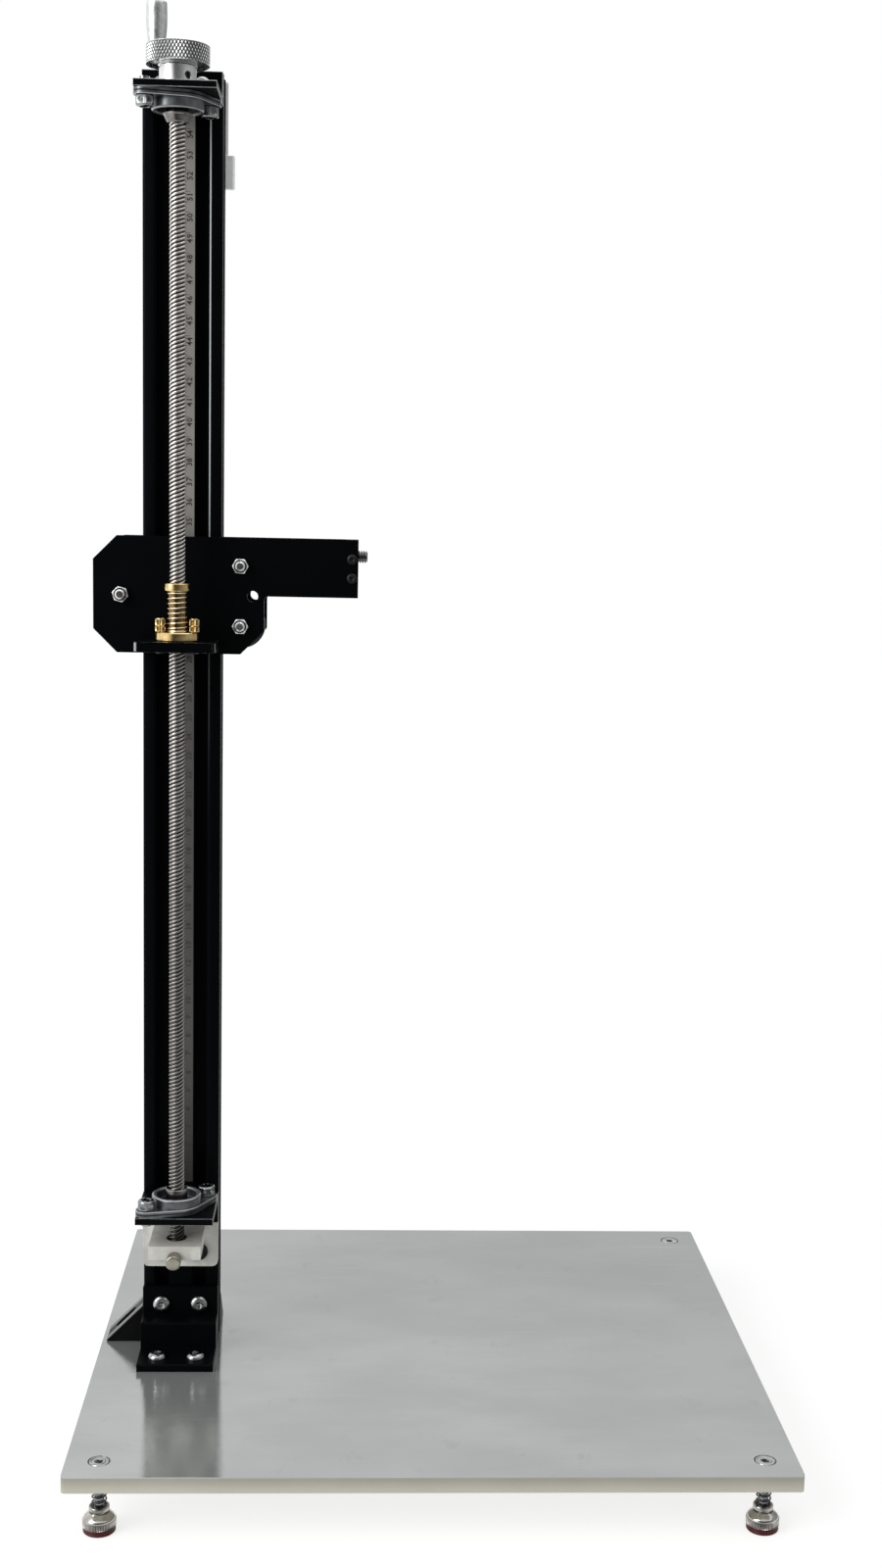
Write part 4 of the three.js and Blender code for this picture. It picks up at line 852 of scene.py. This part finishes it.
def joined(mesh, flat=0.0):
    """Joins points that coincide and, where `flat` is given, faces that meet within that many degrees."""
    work = bmesh.new()
    work.from_mesh(mesh)
    bmesh.ops.remove_doubles(work, verts=work.verts, dist=2e-6)
    if flat:
        bmesh.ops.dissolve_limit(work, angle_limit=math.radians(flat), verts=work.verts, edges=work.edges)
    work.to_mesh(mesh)
    work.free()


def add_piece(name, mesh, finish, body, node, angle):
    """A mesh with its finish, smooth but for edges sharper than the angle; it rides and stands for a node."""
    mesh.materials.clear()
    mesh.materials.append(FINISHES[finish])
    mesh.shade_smooth()
    mesh.set_sharp_from_angle(angle=math.radians(angle))
    piece = add_object(name, mesh)
    if body:
        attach(piece, body)
    if node:
        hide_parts(node)
    return piece


def make_piece(name, shape, finish, body, node=None, angle=38.0):
    """A piece from a shape."""
    points, faces = shape
    mesh = bpy.data.meshes.new(name)
    mesh.from_pydata((points * MM).tolist(), [], faces.tolist())
    joined(mesh)
    return add_piece(name, mesh, finish, body, node, angle)


def soften(node, finish, body, width, edge=None):
    """A copy of a flat-sided CAD piece, its faces joined up and its edges rounded, in their own finish."""
    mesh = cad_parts[node].data.copy()
    mesh.name = f"{node}_finished"
    for attribute in ("custom_normal", "sharp_edge", "sharp_face"):
        if attribute in mesh.attributes:
            mesh.attributes.remove(mesh.attributes[attribute])
    joined(mesh, 0.4)
    piece = add_piece(f"{node}_finished", mesh, finish, body, node, SHARP)
    edges = piece.modifiers.new("rounded_edges", "BEVEL")
    edges.width = width * MM
    edges.segments = 2
    edges.limit_method = "ANGLE"
    edges.angle_limit = math.radians(SHARP)
    edges.harden_normals = True
    if edge:
        mesh.materials.append(FINISHES[edge])
        edges.material = 1
    return piece


def widen_lock_hole(piece):
    """Points on the bore round the lead screw move out along their radius, to clear the drawn thread."""
    bore, wide = 4.3, 5.0
    mesh = piece.data
    points = np.zeros(len(mesh.vertices) * 3)
    mesh.vertices.foreach_get("co", points)
    points = points.reshape(-1, 3)
    offset = points[:, :2] / MM - SCREW_AXIS
    reach = np.linalg.norm(offset, axis=1)
    wall = np.abs(reach - bore) < 0.06
    points[wall, :2] = (SCREW_AXIS + offset[wall] * (wide / reach[wall])[:, None]) * MM
    mesh.vertices.foreach_set("co", points.ravel())


def make_flat_parts():
    """The board, profile, brackets, plates and block, as softened copies of the CAD."""
    for part in [
        ("base_plate", "board", "stand", 0.35),
        ("column", "anodised", "stand", 0.22, "anodised_edge"),
        ("scale_strip", "scale", "stand", 0.12),
        ("foot_angle", "anodised", "stand", 0.25),
        ("corner_bracket_side", "bracket", "stand", 0.4, "anodised_edge"),
        ("corner_bracket_rear", "bracket", "stand", 0.4, "anodised_edge"),
        ("lower_bracket", "anodised", "stand", 0.7, "bracket_edge"),
        ("upper_bracket", "anodised", "stand", 0.7, "bracket_edge"),
        ("lock_block", "printed", "stand", 0.7),
        ("column_clip", "pale_plastic", "stand", 0.5),
        ("back_strip", "pale_plastic", "stand", 0.2),
        ("carriage_front_plate", "anodised", "carriage", 0.25),
        ("carriage_rear_plate", "anodised", "carriage", 0.25),
        ("nut_bracket", "shelf", "carriage", 0.4, "bracket_edge"),
        ("arm_end_block", "anodised", "carriage", 0.3),
        ("flange_nut", "brass", "carriage", 0.25),
    ]:
        piece = soften(*part)
        if part[0] == "lock_block":
            widen_lock_hole(piece)


def digit_shape(digit):
    """A digit's flat points [x, y] and its triangles, from Blender's own typeface."""
    curve = bpy.data.curves.new("digit", "FONT")
    curve.body = digit
    curve.resolution_u = 2
    curve.offset = 0.022
    text = add_object("digit", curve)
    mesh = text.evaluated_get(bpy.context.evaluated_depsgraph_get()).to_mesh()
    mesh.calc_loop_triangles()
    points = np.zeros(len(mesh.vertices) * 3, np.float32)
    mesh.vertices.foreach_get("co", points)
    corners = np.zeros(len(mesh.loop_triangles) * 3, np.int32)
    mesh.loop_triangles.foreach_get("vertices", corners)
    bpy.data.objects.remove(text)
    bpy.data.curves.remove(curve)
    return points.reshape(-1, 3)[:, :2].astype(float), corners.reshape(-1, 3)


def make_scale_print():
    """Centimetre figures that read upwards, and tick marks at every millimetre, on the strip's face."""
    glyphs = {digit: digit_shape(digit) for digit in "0123456789"}
    tall = glyphs["8"][0][:, 1].max()
    size, advance, left, right, zero, face = 2.9, 2.1, -138.6, -127.5, 93.0, -10.62
    shapes = []
    for number in range(1, 55):
        start = zero + 10.0 * number - 0.5 - advance * len(str(number))
        for place, digit in enumerate(str(number)):
            points, faces = glyphs[digit]
            along = points[:, 0] * size / tall
            along = along - along.mean() + start + advance * (place + 0.5)
            across = right - points[:, 1] * size / tall
            shapes.append((abreast(across, face, along), faces))
    millimetre = np.arange(0, 546)
    reach = np.where(millimetre % 10 == 0, 9.9, np.where(millimetre % 5 == 0, 8.6, 4.2))
    low, high = zero + millimetre - 0.1, zero + millimetre + 0.1
    corners = np.stack([
        abreast(left + share * reach, face, height)
        for share, height in ((0, low), (1, low), (1, high), (0, high))
    ], axis=1)
    first = np.arange(len(millimetre))[:, None] * 4
    faces = np.concatenate([first + [0, 1, 2], first + [0, 2, 3]])
    shapes.append((corners.reshape(-1, 3), faces))
    make_piece("scale_print", merged(*shapes), "ink", "stand")


def screw_pair(screw, y, z, turn, spin, middle=0.0):
    """A screw at each side of the column's middle, spun by `middle` less and plus `spin` degrees."""
    return [placed(screw, (COLUMN_X + side * 10.0, y, z), turn, middle + spin * side) for side in (-1, 1)]


def make_board_screws():
    """Button screws that hold the foot angle, the brackets and the lock block to the board and column."""
    button = button_screw(2.5, 4.75, 2.75, 1.5, 6.0)
    angle_face, bracket_face, root_top = COLUMN_FRONT - 4.0, COLUMN_FRONT - 3.5, 4.1
    board_row, angle_row, block_row, lower_row, upper_row = -38.1, 23.9, 53.4, 77.0, 652.5
    bright = [
        *screw_pair(button, angle_face, angle_row, FRONTWARD, 20.0, 15.0),
        *screw_pair(button, board_row, root_top, UPWARD, 8.0),
        *screw_pair(button, bracket_face, upper_row, FRONTWARD, 12.0),
        *screw_pair(button, bracket_face, lower_row, FRONTWARD, 12.0),
    ]
    make_piece("bracket_button_screws", merged(*bright), "screw_steel", "stand")
    # These two screws take the black finish as painted shade: under the lock block's shelf they look dark
    # from shadow and reflection
    dark = screw_pair(button, angle_face, block_row, FRONTWARD, 10.0)
    make_piece("lock_block_button_screws", merged(*dark), "black_screw", "stand")
    wall, reach, level = 3.0, 9.0, 3.1
    corner = [
        placed(button, (COLUMN_LEFT - reach, 0.0, level), UPWARD),
        placed(button, (COLUMN_LEFT - wall, 0.0, level + 6.0), LEFTWARD),
        placed(button, (REAR_BRACKET_X, COLUMN_BACK + reach, level), UPWARD),
        placed(button, (REAR_BRACKET_X, COLUMN_BACK + wall, level + 6.0), BACKWARD),
    ]
    make_piece("corner_bracket_screws", merged(*corner), "screw_steel", "stand")


def make_bearings():
    """Oval housings with their races, the inner sleeves and the knurled cap screws."""
    plan = flange([
        (9, 0), (0.25, 0), (0, 0.25), (0, 1.3), (0.45, 1.5), (0.45, 1.8), (0, 2), (0, 3.1),
        (0.3, 3.4), (12, 3.4),
    ])
    body = lathe(eased([
        [9.4, 0.4], [12.6, 0.4], [12.75, 3.6], [12.75, 7.6], [12.15, 8.2], [10.8, 8.2], [10.2, 7.6],
        [10.2, 4], [9.4, 4],
    ], 0.35), 96, loop=True)
    race = lathe(eased([
        [6.4, 1], [9.3, 1], [10.1, 4.3], [9.9, 4.5], [9.1, 4.5], [8.9, 4.15], [6.9, 4.15], [6.8, 4.4],
        [6.4, 4.4],
    ], 0.12), 96, loop=True)
    foot = [[4.1, -0.6], [6, -0.6], [6, 4.3], [5.6, 4.7]]
    plain = lathe(eased(foot + [[5.6, 10.9], [5.2, 11.2], [4.1, 11.2]], 0.15), 72, loop=True)
    locked = lathe(eased(foot + [
        [5.6, 8.9], [7.2, 9], [7.2, 9.7], [6.8, 10.2], [5.3, 13.2], [4.9, 13.6], [4.1, 13.6],
    ], 0.2), 72, loop=True)
    screw = cap_screw(2.5, 4.25, 5.0, 2.0, 8.7)
    lower, upper = (*SCREW_AXIS, LOWER_SEAT), (*SCREW_AXIS, UPPER_SEAT)
    for end, axis, turn, spin in [
        ("lower", lower, UPWARD, BEARING_TURN), ("upper", upper, DOWNWARD, -BEARING_TURN),
    ]:
        housing = placed(merged(plan, body), axis, turn, spin)
        make_piece(f"{end}_bearing_flange", housing, "cast", "stand", f"{end}_bearing_housing")
        # The races take the dark spring finish as painted shade inside the housing's recess
        make_piece(f"{end}_bearing_race", placed(race, axis, turn), "spring", "stand")
        for side, place in (("left", -BEARING_BOLT), ("right", BEARING_BOLT)):
            bolt = placed(placed(screw, (place, 0.0, 3.5), UPWARD, 11.0), axis, turn, spin)
            make_piece(
                f"{end}_bearing_cap_screw_{side}", bolt, "cap_steel", "stand", f"{end}_bearing_bolt_{side}"
            )
    for end, sleeve in (("lower", placed(plain, lower)), ("upper", placed(locked, upper, DOWNWARD))):
        make_piece(f"{end}_bearing_sleeve", sleeve, "steel", "spindle", f"{end}_bearing_ring")


def make_handwheel():
    """The knurled handwheel and, in a hole across its hub, its set screw."""
    hub, hole_turn, hole_level = 9.05, -52.5, 3.3
    low = outline([[4.1, 0], [8.85, 0], [hub, 0.25]], band(hub, 1, 5.6, 0.12))
    web = eased([
        [hub, 5.8], [hub, 8.2], [9.6, 8.6], [9.6, 9.05], [9.1, 9.4], [hub, 10.3], [13.6, 10.3], [14.3, 9],
        [15.2, 9],
    ], 0.18)
    top = eased([[RIM, 17.8], [15.2, 18], [5, 18], [4.1, 17.5], [4.1, 9]], 0.18)
    knurl = diamonds(56, 3.0, 0.5)

    def relief(angle, height):
        hole = drilled(angle, height, hole_turn, hole_level, hub)
        return np.where(height < 9.0, hole, knurl(angle, height))

    wheel = lathe(outline(low, web, band(RIM, RIM_LOW, RIM_HIGH, 0.3), top), 560, relief, loop=True)
    axis = (*SCREW_AXIS, WHEEL_Z)
    make_piece("knurled_handwheel", placed(wheel, axis), "satin", "spindle", "handwheel", 30.0)
    rows = outline([[0, 4.4], [1.55, 4.4], [1.55, 7.4], [1.4, 7.55]], socket(0.9, 7.6, 1.2))
    grub = placed(lathe(rows, 36), (*SCREW_AXIS, WHEEL_Z + hole_level), about_z(hole_turn) @ RIGHTWARD)
    make_piece("handwheel_grub_screw", grub, "black_screw", "spindle", "handwheel_set_screw")


def make_handle():
    """The turning handle, whose side is two parabolas that meet at its belly, and its riveted pin."""
    height = np.linspace(0.0, 1.0, 14)[1:-1]
    belly = 0.66
    reach = np.where(height < belly, (belly - height) / belly, (height - belly) / (1 - belly))
    side = 5.15 - np.where(height < belly, 1.05, 0.20) * reach**2
    grip = outline(
        [[2.3, 0], [3.6, 0], [4.08, 0.4]], abreast(side, 20.0 * height),
        [[4.9, 19.6], [4.5, 20], [3.6, 20], [3.4, 19.8], [3.4, 18.5], [2.3, 18.5]],
    )
    grip = placed(lathe(eased(grip, 0.3), 72, loop=True), (*HANDLE_AXIS, WHEEL_Z + 19.0))
    make_piece("turning_handle", grip, "grip", "crank_handle", "handle")
    pin = eased([
        [0, -6], [1.7, -6], [1.7, 0.1], [3.3, 0.1], [3.3, 0.7], [2, 0.7], [2, 19.8], [3.1, 19.8],
        [3.1, 20.6], [2.4, 20.9], [0, 20.9],
    ], 0.15)
    pin = placed(lathe(pin), (*HANDLE_AXIS, WHEEL_Z + 18.0))
    make_piece("handle_rivet", pin, "steel", "spindle", "handle_pin")


def make_spindle():
    """The four-start lead screw, the handwheel and the handle."""
    screw = placed(thread(4.0, 0.95, 2.0, 4, 60.0, 665.0), (*SCREW_AXIS, 0.0))
    make_piece("lead_screw_thread", screw, "lead_screw", "spindle", "lead_screw", 50.0)
    make_handwheel()
    make_handle()


def make_thumb_screw():
    """Thumb screw of the lock block: fine ribs, a plain turned face and a short shank."""
    rows = outline(
        [[0, -8.7], [2, -8.7], [2, 0.3], [3.4, 0.3], [3.7, 0.5]], band(3.8, 0.7, 7, 1.5),
        [[3.66, 7.2], [3.4, 7.45], [3.1, 7.5], [0, 7.5]],
    )
    knob = placed(lathe(rows, 180, ribs(45, 0.16)), LOCK_SCREW, FRONTWARD)
    make_piece("knurled_thumb_screw", knob, "knob", "thumb_screw", "lock_screw")


def make_wheels():
    """The V-wheels, each on its sleeve, with a through bolt and a hexagonal nut."""
    wheel = lathe(eased([
        [5.2, -4.7], [7.6, -4.7], [7.8, -5.3], [8.9, -5.3], [11.95, -2], [11.95, 2], [8.9, 5.3], [7.8, 5.3],
        [7.6, 4.7], [5.2, 4.7],
    ], 0.25), 96, loop=True)
    sleeve = lathe(eased([[2.8, -14.4], [4.9, -14.4], [4.9, 14.4], [2.8, 14.4]], 0.2), loop=True)
    bolt = lathe([
        [0, -2.85], [1, -2], [1, -2, 1], [1.5, -2, 1], [1.5, -2.8, 1], [1.9, -2.85],
        [2.6, -2.82], [3.6, -2.4], [4.35, -1.6], [4.7, -0.8], [4.75, -0.15], [2.5, -0.1], [2.5, 39.95],
        [1.75, 40.7], [0, 40.7],
    ])
    nut = hex_nut(3.6, 4.0, 2.5)
    for name, (x, z) in AXLES.items():
        middle = (x, 0.0, z)
        spin = 15.0 if name == "left" else 30.0
        nutted = placed(nut, (x, PLATE_FRONT - 0.1, z), FRONTWARD, spin)
        axle = merged(placed(bolt, (x, PLATE_BACK, z), FRONTWARD), nutted)
        for piece, shape, finish, body, node in [
            ("v_wheel", placed(wheel, middle, FRONTWARD), "wheel_plastic", f"{name}_wheel", "wheel"),
            ("axle_sleeve", placed(sleeve, middle, FRONTWARD), "steel", "carriage", "wheel_sleeve"),
            ("axle_bolt", axle, "axle_steel", "carriage", "wheel_bolt"),
        ]:
            make_piece(f"{piece}_{name}", shape, finish, body, f"{node}_{name}")


def make_arm_end():
    """The end block's button screws, front and back, and the camera screw with its knurled head."""
    small = button_screw(1.5, 2.75, 1.5, 1.0, 9.0)
    across, rows = -45.7, (413.55, 423.15)
    heads = [
        placed(small, (across, face, row), turn, 10.0)
        for face, turn in ((PLATE_FRONT, FRONTWARD), (PLATE_BACK, BACKWARD)) for row in rows
    ]
    make_piece("arm_end_button_screws", merged(*heads), "black_screw", "carriage")
    head = lathe(outline(
        [[0, -2.6], [2.4, -2.4, 1], [2.4, -4.7, 1], [2.9, -4.8]],
        [[5.5, -4.8], [5.9, -4.4]], band(6, -4.2, -0.6, 1.2), [[5.8, -0.3], [0, -0.3]],
    ), 160, ribs(40, 0.25))
    screw = placed(merged(thread(3.175, 0.7, 1.27, 1, 0.2, 11.1, 32), head), ARM_END, RIGHTWARD)
    make_piece("camera_thread_screw", screw, "stud", "mount_screw", "camera_screw", 45.0)


def make_sprung_nut():
    """The collar half of the nut, its spring, and the two screws with their knurled nuts."""
    base = (*SCREW_AXIS, NUT_SEAT)
    collar = lathe(eased([
        [4.3, 16.6], [4.7, 16.6], [4.7, 24.6], [6.3, 24.6], [6.6, 24.9], [6.6, 28.1], [6.3, 28.4],
        [4.7, 28.4], [4.3, 28],
    ], 0.15), 72, loop=True)
    make_piece("sprung_collar_nut", placed(collar, base), "brass", "carriage", "nut_collar")
    spring = placed(coil(5.15, 0.3, 4.3, 24.5, 9.25, start=2.2), base)
    make_piece("sprung_nut_coil", spring, "pale_spring", "carriage", "nut_spring")
    screw = placed(lathe(outline(
        [[0, -16.2], [1.3, -16.2], [1.5, -16], [1.5, 0], [2.7, 0], [2.75, 0.15], [2.7, 0.6], [2.3, 1.15]],
        [[1.7, 1.45]], socket(1, 1.5, 0.9),
    ), 36), (0.0, 0.0, -5.2), DOWNWARD)
    nut = lathe(outline(
        [[1.6, 4.3], [2.4, 4.3]], band(2.6, 4.5, 7.1, 0.9, 0.2), [[2.3, 7.3]], band(2.6, 7.5, 10.6, 0.9, 0.2),
        [[2.45, 10.9], [1.9, 11], [1.75, 10.3], [1.6, 10.3]],
    ), 104, ribs(13, 0.5), loop=True)
    for side, offset in (("left", -NUT_SCREW), ("right", NUT_SCREW)):
        place = (base[0] + offset, base[1], base[2])
        make_piece(f"knurled_fixing_nut_{side}", placed(nut, place), "brass", "carriage", f"nut_screw_{side}")
        make_piece(f"nut_fixing_screw_{side}", placed(screw, place), "black_screw", "carriage")


def make_feet():
    """Countersunk screw, spring, knurled bell nut and rubber pad of each levelling foot.

    The bell's side falls from the rim to the neck as 3.2 (1 - smoothstep)^0.8 over its height.
    """
    head = lathe(outline(
        [[0, -3.4], [2.4, -3.3], [2.5, -2.9], [4.7, -0.7], [4.75, -0.25], [4.6, -0.06], [4.1, 0]],
        [[3.9, -0.02], [3.7, -0.14], [3.2, -0.14], [3, -0.04]], socket(1.85, -0.05, 2.4),
    ), 72)
    screw = merged(head, thread(2.5, 0.45, 0.8, 1, -27.4, -3.0, 24))
    climb = np.linspace(0.0, 1.0, 12)
    bell = abreast(4.45 + 3.2 * (1 - climb**2 * (3 - 2 * climb)) ** 0.8, 3.7 + 3.7 * climb)
    nut = lathe(outline(
        [[2.8, 0], [7.6, 0]], band(8, 0.3, 3.3, 1), [[7.7, 3.5]], bell,
        band(4.9, 7.5, 9.5, 0.8), [[4.75, 9.8], [4.05, 9.9], [4.05, 8.6], [2.8, 8.6]],
    ), 256, ribs(64, 0.42), loop=True)
    pad = lathe(eased([
        [0, 0], [7.2, 0], [7.8, 0.6], [7.8, 1.2], [7.5, 1.4], [7.5, 1.6], [7.8, 1.8], [7.8, 2.7], [7.4, 3],
        [0, 3],
    ], 0.2), 72)
    turns = coil(3.3, 0.42, -23.1, -8.15, 6.5)
    for name, (x, y) in FEET.items():
        for piece, shape, height, finish, body, node in [
            ("levelling_screw", screw, 0.0, "screw_steel", "stand", "foot_screw"),
            ("bell_nut", nut, BELL_NUT, "nickel", f"{name}_nut", "foot_nut"),
            ("rubber_pad", pad, FLOOR, "rubber", f"{name}_pad", "foot_pad"),
        ]:
            make_piece(f"{piece}_{name}", placed(shape, (x, y, height)), finish, body, f"{node}_{name}")
        wound = placed(turns, (x, y, 0.0))
        spring = make_piece(f"levelling_spring_{name}", wound, "spring", None, f"foot_spring_{name}")
        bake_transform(spring)


add_camera()
bpy.context.scene.view_settings.view_transform = "Standard"
add_world()
add_floor()
add_grey_card()
add_lamp("left_lamp", (-2.2, -1.6, 1.55), (-0.1, 0.0, 0.3), (1.9, 2.5), 76.0)
add_lamp("right_lamp", (2.2, -1.3, 1.3), (-0.1, 0.0, 0.3), (0.8, 1.6), 9.0)
add_lamp("top_lamp", (0.2, 0.3, 2.6), (0.0, 0.0, 0.0), (1.6, 1.6), 9.0)

make_flat_parts()
make_scale_print()
make_board_screws()
make_bearings()
make_spindle()
make_thumb_screw()
make_wheels()
make_arm_end()
make_sprung_nut()
make_feet()
